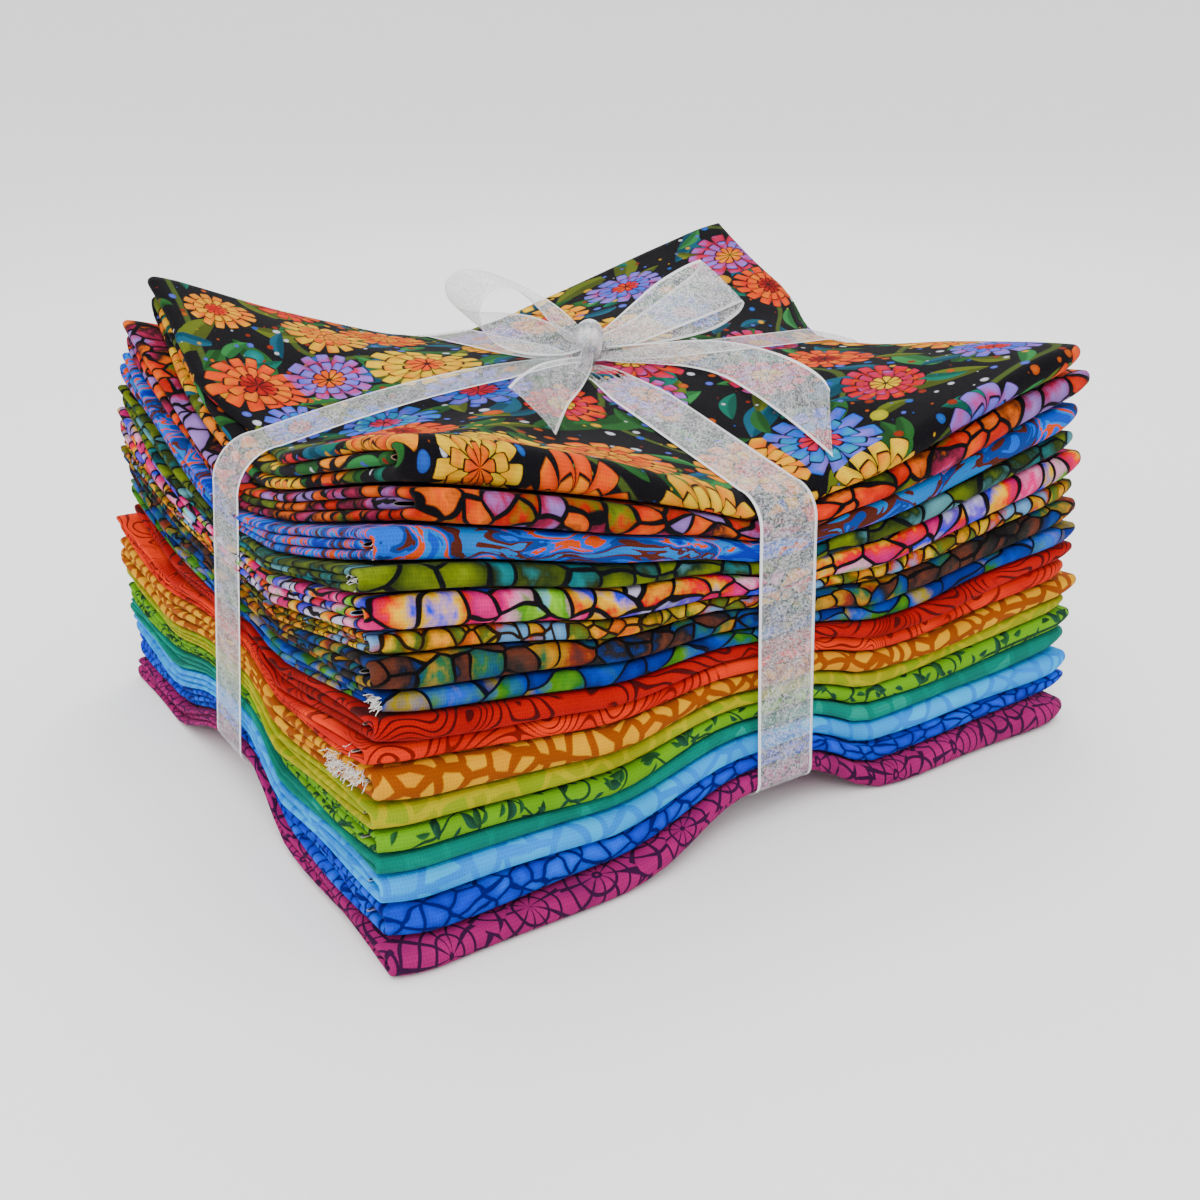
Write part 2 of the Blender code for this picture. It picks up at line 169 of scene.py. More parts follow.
@dataclass(frozen=True)
class CottonFinish:
    """Printed quilting cotton: a plain weave, matt, with the dye's soft unevenness.

    The weave is finer than the render can show, so it is drawn at twice its real spacing.
    """

    name: str
    style: Print
    ground: str
    inks: tuple[str, ...]
    motif: float
    line: float
    outline: str = "#15131a"
    seed: float = 0.0
    reverse: str = "#cfcac2"
    depth: float = 1.0
    tone_size: float = 18.0
    tones: Pair = (0.86, 1.10)
    weave_scale: float = 0.42
    weave_shades: Pair = (0.84, 1.04)
    weave_strength: float = 0.55
    weave_height: float = 0.00012

    def printed(self) -> bpy.types.Material:
        """Make the material of the printed side."""
        material, bench, shader = self._shader(self.name)
        cloth = self._cloth_millimetres(bench)
        tone = bench.add("TexNoise", {"Vector": cloth, "Scale": 1 / self.tone_size, "Detail": 4.0})
        dark, light = self.tones[0] * self.depth, self.tones[1] * self.depth
        colour = self._lit(bench, self._pattern(bench, cloth), tone, (0.3, 0.7), (dark, light))
        self._finish(bench, shader, cloth, colour)
        return material

    def plain_reverse(self) -> bpy.types.Material:
        """Make the material of the reverse, where the print only shows through."""
        material, bench, shader = self._shader(self.name + "_reverse")
        cloth = self._cloth_millimetres(bench)
        tone = bench.add("TexNoise", {"Vector": cloth, "Scale": 1 / self.motif, "Detail": 3.0})
        colour = bench.add("ValToRGB", {0: tone}, stops=((0.3, self.reverse), (0.75, self.inks[0])))
        self._finish(bench, shader, cloth, colour)
        return material

    def _shader(self, name: str) -> tuple[bpy.types.Material, NodeBench, bpy.types.Node]:
        """Start a matt cloth material."""
        return start_material(name, {"Roughness": 0.95, "Specular IOR Level": 0.06, "Sheen Weight": 0.02,
                                     "Sheen Roughness": 0.5})

    def _cloth_millimetres(self, bench: NodeBench) -> Socket:
        """Give the place on the flat cut, in millimetres."""
        place = bench.add("UVMap", uv_map="cloth")
        shift = (37.0 * self.seed, 53.0 * self.seed, 0.0)
        return bench.add("VectorMath", {0: place, 1: (CUT_LENGTH,) * 3, 2: shift},
                         operation="MULTIPLY_ADD")

    def _finish(self, bench: NodeBench, shader: bpy.types.Node, cloth: Socket, colour: Socket) -> None:
        """Link the colour and the weave's relief to the shader."""
        wave = {"Vector": cloth, "Scale": self.weave_scale}
        warp = bench.add("TexWave", wave, out="Fac", bands_direction="X")
        weft = bench.add("TexWave", wave, out="Fac", bands_direction="Y")
        weave = bench.add("Math", {0: warp, 1: weft}, operation="MAXIMUM")
        relief = bench.add("Bump", {"Height": weave, "Strength": self.weave_strength,
                                    "Distance": self.weave_height})
        colour = self._lit(bench, colour, weave, (0.0, 1.0), self.weave_shades)
        bench.tree.links.new(colour, shader.inputs["Base Color"])
        bench.tree.links.new(relief, shader.inputs["Normal"])

    def _pattern(self, bench: NodeBench, cloth: Socket) -> Socket:
        """Draw the print that the finish names."""
        draw = {
            Print.GARDEN: self._garden,
            Print.CELLS: self._cells,
            Print.MARBLE: self._marble,
            Print.LEAVES: self._leaves,
            Print.SWIRL: self._swirl,
            Print.PEBBLE: self._pebble,
            Print.SCALLOP: self._scallop,
        }[self.style]
        return draw(bench, cloth)

    def _warped(self, bench: NodeBench, cloth: Socket, size: float,
                amount: float) -> Socket:
        """Bend the cloth's coordinates by a slow noise."""
        noise = bench.add("TexNoise", {"Vector": cloth, "Scale": 1 / size, "Detail": 1.0}, out="Color")
        away = bench.add("VectorMath", {0: noise, 1: (0.5, 0.5, 0.5)}, operation="SUBTRACT")
        return bench.add("VectorMath", {0: away, 1: (amount,) * 3, 2: cloth}, operation="MULTIPLY_ADD")

    def _palette(self) -> Stops:
        """Spread the inks evenly over a ramp."""
        return tuple((index / len(self.inks), ink) for index, ink in enumerate(self.inks))

    def _layer(self, bench: NodeBench, mask: Socket, under: Socket | tuple,
               over: Socket | tuple) -> Socket:
        """Lay one colour over another where the mask is 1."""
        return bench.add("Mix", {0: mask, 6: under, 7: over}, out=2, data_type="RGBA")

    def _inside(self, bench: NodeBench, value: Socket, low: float,
                high: float) -> Socket:
        """Give 0 below low and 1 above high."""
        return bench.add("MapRange", {0: value, 1: low, 2: high, 3: 0.0, 4: 1.0},
                         interpolation_type="SMOOTHSTEP")

    def _lit(self, bench: NodeBench, colour: Socket, value: Socket, span: Pair, shades: Pair) -> Socket:
        """Shade a colour from dark to light.

        Args:
            bench: The material's node bench.
            colour: The colour to shade.
            value: What the shade depends on.
            span: The value where it is darkest, and the one where it is lightest.
            shades: Its darkest and lightest shade, as factors.

        Returns:
            The shaded colour.
        """
        shade = bench.add("MapRange", {0: value, 1: span[0], 2: span[1], 3: shades[0], 4: shades[1]})
        return bench.add("VectorMath", {0: colour, "Scale": shade}, operation="SCALE")

    def _mixed(self, bench: NodeBench, start: float, *parts: tuple[Socket, float]) -> Socket:
        """Add weighted values to a start."""
        total = start
        for value, weight in parts:
            total = bench.add("Math", {0: value, 1: weight, 2: total}, operation="MULTIPLY_ADD")
        return total

    def _stems(self, bench: NodeBench, cloth: Socket, size: float, thin: float, thick: float,
               ink: str) -> Socket:
        """Lay winding stems on the plain ground."""
        noise = bench.add("TexNoise", {"Vector": cloth, "Scale": 1 / size, "Detail": 0.0})
        away = bench.add("Math", {0: noise, 1: 0.5}, operation="SUBTRACT")
        away = bench.add("Math", {0: away}, operation="ABSOLUTE")
        stem = bench.add("MapRange", {0: away, 1: thin, 2: thick, 3: 1.0, 4: 0.0})
        return self._layer(bench, stem, linear_colour(self.ground), linear_colour(ink))

    def _cells(self, bench: NodeBench, cloth: Socket) -> Socket:
        """Outlined cells, washed from one ink to the next, that change slowly over the cloth."""
        drawn = bench.add("VectorMath", {0: cloth, 1: (0.75, 1.0, 1.0)}, operation="MULTIPLY")
        place = self._warped(bench, drawn, self.motif * 1.6, self.motif * 1.1)
        size = {"Vector": place, "Scale": 1 / self.motif}
        tint = bench.add("TexVoronoi", size, out="Color", voronoi_dimensions="2D")
        tint = bench.add("SeparateXYZ", {0: tint})
        region = bench.add("TexNoise", {"Vector": cloth, "Scale": 1 / (self.motif * 5), "Detail": 1.0})
        wash = bench.add("TexNoise", {"Vector": cloth, "Scale": 1 / (self.motif * 0.5), "Detail": 2.0})
        mixed = self._mixed(bench, -0.75, (region, 1.7), (tint, 0.6), (wash, 0.28))
        colour = bench.add("ValToRGB", {0: mixed}, stops=self._palette())
        edge = bench.add("TexVoronoi", size, voronoi_dimensions="2D", feature="DISTANCE_TO_EDGE")
        mask = self._inside(bench, edge, self.line / self.motif * 0.6, self.line / self.motif)
        colour = self._lit(bench, colour, edge, (0.0, 0.4), (0.7, 1.25))
        return self._layer(bench, mask, linear_colour(self.outline), colour)

    def _marble(self, bench: NodeBench, cloth: Socket) -> Socket:
        """Marbled strokes of the inks, drawn out along one direction."""
        drawn = bench.add("VectorMath", {0: cloth, 1: (0.45, 1.0, 1.0)}, operation="MULTIPLY")
        place = self._warped(bench, drawn, self.motif * 1.2, self.motif * 1.6)
        noise = bench.add("TexNoise", {"Vector": place, "Scale": 1 / self.motif, "Detail": 3.0, "Distortion": 1.2})
        noise = self._inside(bench, noise, 0.28, 0.72)
        return bench.add("ValToRGB", {0: noise}, stops=self._palette(), stepped=True)

    def _swirl(self, bench: NodeBench, cloth: Socket) -> Socket:
        """Curved lines that run round in bundles."""
        noise = bench.add("TexNoise", {"Vector": cloth, "Scale": 1 / self.motif, "Detail": 0.6, "Distortion": 0.6})
        turns = bench.add("Math", {0: noise, 1: 150.0}, operation="MULTIPLY")
        ribs = bench.add("Math", {0: turns}, operation="SINE")
        mask = self._inside(bench, ribs, 0.45, 0.85)
        patches = bench.add("TexNoise", {"Vector": cloth, "Scale": 1 / (self.motif * 0.8), "Detail": 2.0})
        patches = self._inside(bench, patches, 0.36, 0.46)
        mask = bench.add("Math", {0: mask, 1: patches}, operation="MULTIPLY")
        ground = self._layer(bench, self._inside(bench, noise, 0.35, 0.65), linear_colour(self.ground),
                             linear_colour(self.inks[0]))
        return self._layer(bench, mask, ground, linear_colour(self.outline))

    def _pebble(self, bench: NodeBench, cloth: Socket) -> Socket:
        """Pebbles of uneven size with the ground showing between them."""
        place = self._warped(bench, cloth, self.motif * 2.2, self.motif * 1.2)
        size = {"Vector": place, "Scale": 1 / self.motif}
        edge = bench.add("TexVoronoi", size, voronoi_dimensions="2D", feature="DISTANCE_TO_EDGE")
        mask = self._inside(bench, edge, self.line / self.motif * 0.8, self.line / self.motif * 1.2)
        tint = bench.add("SeparateXYZ", {0: bench.add("TexVoronoi", size, out="Color", voronoi_dimensions="2D")})
        pebble = bench.add("ValToRGB", {0: tint}, stops=self._palette())
        return self._layer(bench, mask, linear_colour(self.ground), pebble)

    def _scallop(self, bench: NodeBench, cloth: Socket) -> Socket:
        """Ribs that fan out round scattered centres, between rings."""
        place = self._warped(bench, cloth, self.motif * 1.5, self.motif * 0.6)
        size = {"Vector": place, "Scale": 1 / self.motif}
        centre = bench.add("TexVoronoi", size, out="Position", voronoi_dimensions="2D")
        local = bench.add("VectorMath", {0: place, 1: centre}, operation="SUBTRACT")
        axes = bench.add("SeparateXYZ", {0: local}).node
        angle = bench.add("Math", {0: axes.outputs[1], 1: axes.outputs[0]}, operation="ARCTAN2")
        radius = bench.add("VectorMath", {0: local}, out="Value", operation="LENGTH")
        rays = bench.add("Math", {0: bench.add("Math", {0: angle, 1: 9.0}, operation="MULTIPLY")}, operation="COSINE")
        rings = bench.add("Math", {0: bench.add("Math", {0: radius, 1: 1.9}, operation="MULTIPLY")},
                          operation="SINE")
        both = bench.add("Math", {0: rays, 1: rings}, operation="MAXIMUM")
        mask = self._inside(bench, both, 0.72, 0.9)
        shade = bench.add("TexNoise", {"Vector": cloth, "Scale": 1 / self.motif, "Detail": 2.0})
        ground = bench.add("ValToRGB", {0: shade}, stops=self._palette())
        return self._layer(bench, mask, ground, linear_colour(self.outline))

    def _leaf_layer(self, bench: NodeBench, cloth: Socket, under: Socket | tuple,
                    cell: float, length: float, width: float,
                    inks: Stops) -> Socket:
        """Scatter pointed leaves with a midrib over what is below.

        Args:
            bench: The material's node bench.
            cloth: Coordinates in millimetres.
            under: The colour below.
            cell: Mean distance between leaves.
            length: Half of a leaf's length.
            width: Half of a leaf's width.
            inks: Ramp of the leaves' colours.

        Returns:
            The colour with the leaves on it.
        """
        moved = bench.add("VectorMath", {0: cloth, 1: (cell * 3.7, cell * 1.3, 0.0)}, operation="ADD")
        field = bench.add("TexVoronoi", {"Vector": moved, "Scale": 1 / cell, "Randomness": 0.85},
                          out="Position", voronoi_dimensions="2D")
        random = bench.add("SeparateXYZ", {0: field.node.outputs["Color"]}).node
        local = bench.add("VectorMath", {0: moved, 1: field}, operation="SUBTRACT")
        turn = bench.add("Math", {0: random.outputs[0], 1: 2 * math.pi}, operation="MULTIPLY")
        local = bench.add("VectorRotate", {"Vector": local, "Angle": turn}, rotation_type="Z_AXIS")
        axes = bench.add("SeparateXYZ", {0: local}).node
        along = bench.add("Math", {0: axes.outputs[0], 1: length}, operation="DIVIDE")
        square = bench.add("Math", {0: along, 1: along}, operation="MULTIPLY")
        bow = bench.add("Math", {0: square, 1: width * 0.7}, operation="MULTIPLY")
        side = bench.add("Math", {0: axes.outputs[1], 1: bow}, operation="ADD")
        reach = bench.add("Math", {0: bench.add("Math", {0: 1.0, 1: square}, operation="SUBTRACT"), 1: width},
                          operation="MULTIPLY")
        away = bench.add("Math", {0: side}, operation="ABSOLUTE")
        blade = self._inside(bench, bench.add("Math", {0: reach, 1: away}, operation="SUBTRACT"), 0.0, 0.35)
        colour = bench.add("ValToRGB", {0: random.outputs[1]}, stops=inks, stepped=True)
        colour = self._lit(bench, colour, side, (-0.4, 0.4), (0.62, 1.15))
        return self._layer(bench, blade, under, colour)

    def _leaves(self, bench: NodeBench, cloth: Socket) -> Socket:
        """Leaves and winding stems on a plain ground."""
        colour = self._stems(bench, cloth, self.motif * 1.7, 0.010, 0.020, self.outline)
        for cell, length, width in ((1.0, 0.42, 0.17), (0.62, 0.26, 0.10)):
            colour = self._leaf_layer(bench, cloth, colour, self.motif * cell, self.motif * length,
                                      self.motif * width, self._palette())
        return colour

    def _garden(self, bench: NodeBench, cloth: Socket) -> Socket:
        """Simple many-petalled flowers, leaves, stems and dots on a dark ground."""
        colour = self._garden_ground(bench, cloth)
        return self._garden_flowers(bench, cloth, colour)

    def _garden_ground(self, bench: NodeBench, cloth: Socket) -> Socket:
        """The dark ground with its stems, leaves and dots."""
        colour = self._stems(bench, cloth, 52.0, 0.008, 0.014, "#4a5c22")
        greens = ((0.0, "#235c26"), (0.2, "#0a6b58"), (0.4, "#5d6a18"), (0.6, "#17566e"), (0.8, "#2f8040"))
        colour = self._leaf_layer(bench, cloth, colour, 27.0, 13.5, 4.8, greens)
        colour = self._leaf_layer(bench, cloth, colour, 17.0, 8.5, 2.7, greens)
        colour = self._spots(bench, cloth, colour, 6.8, 0.0, 0.25, (
            (0.0, "#1f62c0"), (0.16, "#c9560f"), (0.32, "#d9dbe6"), (0.48, "#e0a818"), (0.64, "#5768d8"),
            (0.82, "#9b3012")))
        return self._spots(bench, cloth, colour, 23.0, 0.45, 0.17, (
            (0.0, "#f0a008"), (0.25, "#0f8a86"), (0.45, "#e0600a"), (0.65, "#2a5fd0"), (0.85, "#c9c218")))

    def _spots(self, bench: NodeBench, cloth: Socket, under: Socket, cell: float,
               rare: float, reach: float, inks: Stops) -> Socket:
        """Scatter round spots of many sizes over what is below.

        Args:
            bench: The material's node bench.
            cloth: Coordinates in millimetres.
            under: The colour below.
            cell: Mean distance between spots.
            rare: Share of the places left empty.
            reach: Radius of the largest spot, as a share of cell.
            inks: Ramp of the spots' colours.

        Returns:
            The colour with the spots on it.
        """
        moved = bench.add("VectorMath", {0: cloth, 1: (cell * 2.3, cell * 5.1, 0.0)}, operation="ADD")
        away = bench.add("TexVoronoi", {"Vector": moved, "Scale": 1 / cell, "Randomness": 0.85},
                         voronoi_dimensions="2D")
        random = bench.add("SeparateXYZ", {0: away.node.outputs["Color"]}).node
        size = bench.add("MapRange", {0: random.outputs[0], 1: rare, 2: 1.0, 3: 0.0, 4: reach})
        inside = bench.add("Math", {0: size, 1: away}, operation="SUBTRACT")
        colour = bench.add("ValToRGB", {0: random.outputs[1]}, stops=inks, stepped=True)
        colour = self._lit(bench, colour, inside, (0.0, reach), (0.65, 1.2))
        return self._layer(bench, self._inside(bench, inside, 0.0, 0.3 / cell), under, colour)

    def _garden_flowers(self, bench: NodeBench, cloth: Socket,
                        under: Socket) -> Socket:
        """Round flowers with petals in three rings, washed from one warm or cool ink to the next."""
        place = self._warped(bench, cloth, 26.0, 9.0)
        field = bench.add("TexVoronoi", {"Vector": place, "Scale": 1 / self.motif, "Randomness": 0.62},
                          out="Position", voronoi_dimensions="2D")
        random = bench.add("SeparateXYZ", {0: field.node.outputs["Color"]}).node
        local = bench.add("VectorMath", {0: place, 1: field}, operation="SUBTRACT")
        axes = bench.add("SeparateXYZ", {0: local}).node
        radius = bench.add("VectorMath", {0: local}, out="Value", operation="LENGTH")
        angle = bench.add("Math", {0: axes.outputs[1], 1: axes.outputs[0]}, operation="ARCTAN2")
        size = bench.add("MapRange", {0: random.outputs[1], 1: 0.0, 2: 1.0, 3: 12.0, 4: 20.0})
        share = bench.add("Math", {0: radius, 1: size}, operation="DIVIDE")
        wash = bench.add("TexNoise", {"Vector": cloth, "Scale": 1 / 6, "Detail": 2.0})
        tint = self._mixed(bench, -0.06, (random.outputs[2], 0.72), (wash, 0.22), (share, 0.16))
        colour = under
        rings = ((1.0, 7.0, 0.0, 0.0), (0.68, 6.0, 0.5, 0.10), (0.38, 4.5, 0.2, -0.09))
        for reach, petals, turn, step in rings:
            colour = self._petal_ring(bench, colour, share, angle, tint, reach, petals, turn, step)
        return colour

    def _petal_ring(self, bench: NodeBench, under: Socket, share: Socket,
                    angle: Socket, tint: Socket, reach: float, petals: float,
                    turn: float, step: float) -> Socket:
        """Draw one ring of outlined petals.

        Args:
            bench: The material's node bench.
            under: The colour below.
            share: Distance from the flower's middle, as a share of its radius.
            angle: Angle round the flower.
            tint: Place on the ramp of inks.
            reach: Outer end of the ring, as a share of the radius.
            petals: Half the number of petals.
            turn: How far the ring is turned.
            step: How far its colour stands from the other rings'.

        Returns:
            The colour with the ring on it.
        """
        turned = bench.add("Math", {0: angle, 1: petals, 2: turn * math.pi}, operation="MULTIPLY_ADD")
        petal = bench.add("Math", {0: turned}, operation="COSINE")
        petal = bench.add("Math", {0: petal}, operation="ABSOLUTE")
        shape = bench.add("MapRange", {0: petal, 1: 0.0, 2: 0.7, 3: 0.70 * reach, 4: reach},
                          interpolation_type="SMOOTHSTEP")
        inside = bench.add("Math", {0: shape, 1: share}, operation="SUBTRACT")
        inks = ((0.0, "#8e0f0a"), (0.10, "#d8160a"), (0.22, "#f0520a"), (0.34, "#f39a08"), (0.44, "#f3c90f"),
                (0.54, "#f0700a"), (0.62, "#d8130a"), (0.70, "#c42058"), (0.78, "#8f6fd8"), (0.87, "#1f5fe0"),
                (0.95, "#0f9ab8"), (1.0, "#9fdcd8"))
        place = bench.add("Math", {0: tint, 1: step}, operation="ADD")
        colour = bench.add("ValToRGB", {0: place}, stops=inks)
        colour = self._lit(bench, colour, petal, (0.1, 0.9), (0.62, 1.12))
        side = bench.add("Math", {0: petal, 1: share}, operation="MULTIPLY")
        body = bench.add("Math", {0: self._inside(bench, side, 0.03, 0.09),
                                  1: self._inside(bench, inside, 0.02, 0.06)}, operation="MULTIPLY")
        colour = self._layer(bench, body, linear_colour(self.outline), colour)
        return self._layer(bench, self._inside(bench, inside, -0.015, 0.01), under, colour)


@dataclass(frozen=True)
class RibbonFinish:
    """Silvery nylon organza: sheer and crisp, with a brighter woven edge and fine painted glints.

    The glints of light off single flat threads are painted into its colour. They are finer than the
    render can show, so lighter cells of 0.4 mm, in faint iridescent tints, stand for them.
    """

    name: str = "ribbon_organza"
    dull: str = "#8f9298"
    # The near-white of the painted glints.
    painted_glint_colour: str = "#f2f4f6"
    selvedge: str = "#f6f7f9"
    sheer: float = 0.205
    edge: float = 0.60
    edge_width: float = 1.0
    # Size of the cells of painted glints, in millimetres.
    glint_grain: float = 0.40
    gathered_cover: float = 0.72
    cover_spread: float = 0.08
    # Shares of the painted glints in the ribbon laid flat and gathered, and of their painted iridescent tints.
    painted_glint_share: float = 0.84
    gathered_painted_glint_share: float = 0.40
    painted_rainbow_glint: float = 0.18

    def material(self, gathered: bool = False) -> bpy.types.Material:
        """Make the organza material.

        Args:
            gathered: Whether the ribbon lies in many folds, as in the knot, and hides more.

        Returns:
            The material.
        """
        material, bench, shader = start_material(self.name + ("_gathered" if gathered else ""),
                                                 {"Roughness": 0.30, "Specular IOR Level": 0.6})
        place = bench.add("VectorMath", {0: bench.add("UVMap", uv_map="cloth"), 1: (CUT_LENGTH,) * 3},
                          operation="MULTIPLY")
        across = bench.add("SeparateXYZ", {0: place})
        away = bench.add("Math", {0: bench.add("Math", {0: across, 1: RIBBON_WIDTH / 2}, operation="SUBTRACT")},
                         operation="ABSOLUTE")
        inner = RIBBON_WIDTH / 2 - self.edge_width
        selvedge = bench.add("MapRange", {0: away, 1: inner, 2: inner + 0.25, 3: 0.0, 4: 1.0})
        moire = bench.add("TexWave", {"Vector": place, "Scale": 0.06, "Distortion": 3.5, "Detail": 1.0,
                                      "Detail Scale": 0.2}, out="Fac", bands_direction="DIAGONAL")
        glint_grain = bench.add("TexVoronoi", {"Vector": place, "Scale": 1 / self.glint_grain}, out="Color",
                          voronoi_dimensions="2D")
        random = bench.add("SeparateXYZ", {0: glint_grain})
        # Painted glints: random cells and the moiré set how far the colour is lightened towards near-white, standing
        # in for light glinting off single threads; they also vary the cover.
        painted_glint_share = self.gathered_painted_glint_share if gathered else self.painted_glint_share
        soft = bench.add("Math", {0: moire, 1: 1 - painted_glint_share}, operation="MULTIPLY")
        glints_and_moire = bench.add("Math", {0: random, 1: painted_glint_share, 2: soft}, operation="MULTIPLY_ADD")
        base = self.gathered_cover if gathered else self.sheer
        body = bench.add("MapRange", {0: glints_and_moire, 1: 0.1, 2: 0.9, 3: base - self.cover_spread,
                                      4: base + self.cover_spread})
        cover = bench.add("Mix", {0: selvedge, 2: body, 3: max(self.edge, base)}, out=0, data_type="FLOAT")
        bench.tree.links.new(cover, shader.inputs["Alpha"])
        # Painted glints: the grey is lightened towards near-white where the glints lie.
        silver_with_painted_glints = bench.add("ValToRGB", {0: glints_and_moire}, stops=((0.15, self.dull), (0.8, self.painted_glint_colour)))
        # Painted iridescence: faint random tints from the glint cells, standing in for light on the threads.
        painted_rainbow_glint = bench.add("Mix", {0: self.painted_rainbow_glint, 6: silver_with_painted_glints, 7: glint_grain}, out=2, data_type="RGBA")
        tint = bench.add("Mix", {0: selvedge, 6: painted_rainbow_glint, 7: linear_colour(self.selvedge)}, out=2,
                         data_type="RGBA")
        bench.tree.links.new(tint, shader.inputs["Base Color"])
        return material


@dataclass(frozen=True)
class Cotton:
    """One cotton of the stack, from the top down.

    loft is its height at the left corners and at the right ones. left, right, front and back say
    how far each edge stands in. skew is how far its back edge stands to the right of its front
    one, halved. bulge is the depth of its front wrap beside half of its height, and slant how much
    further its back edge stands in at the right. corner is how much further its front-left and
    back-left corners stand in.
    """

    node: str
    loft: Pair
    left: float
    right: float
    front: float
    back: float
    skew: float
    finish: CottonFinish
    bulge: float = 0.75
    slant: float = 0.0
    corner: Pair = (0.0, 0.0)


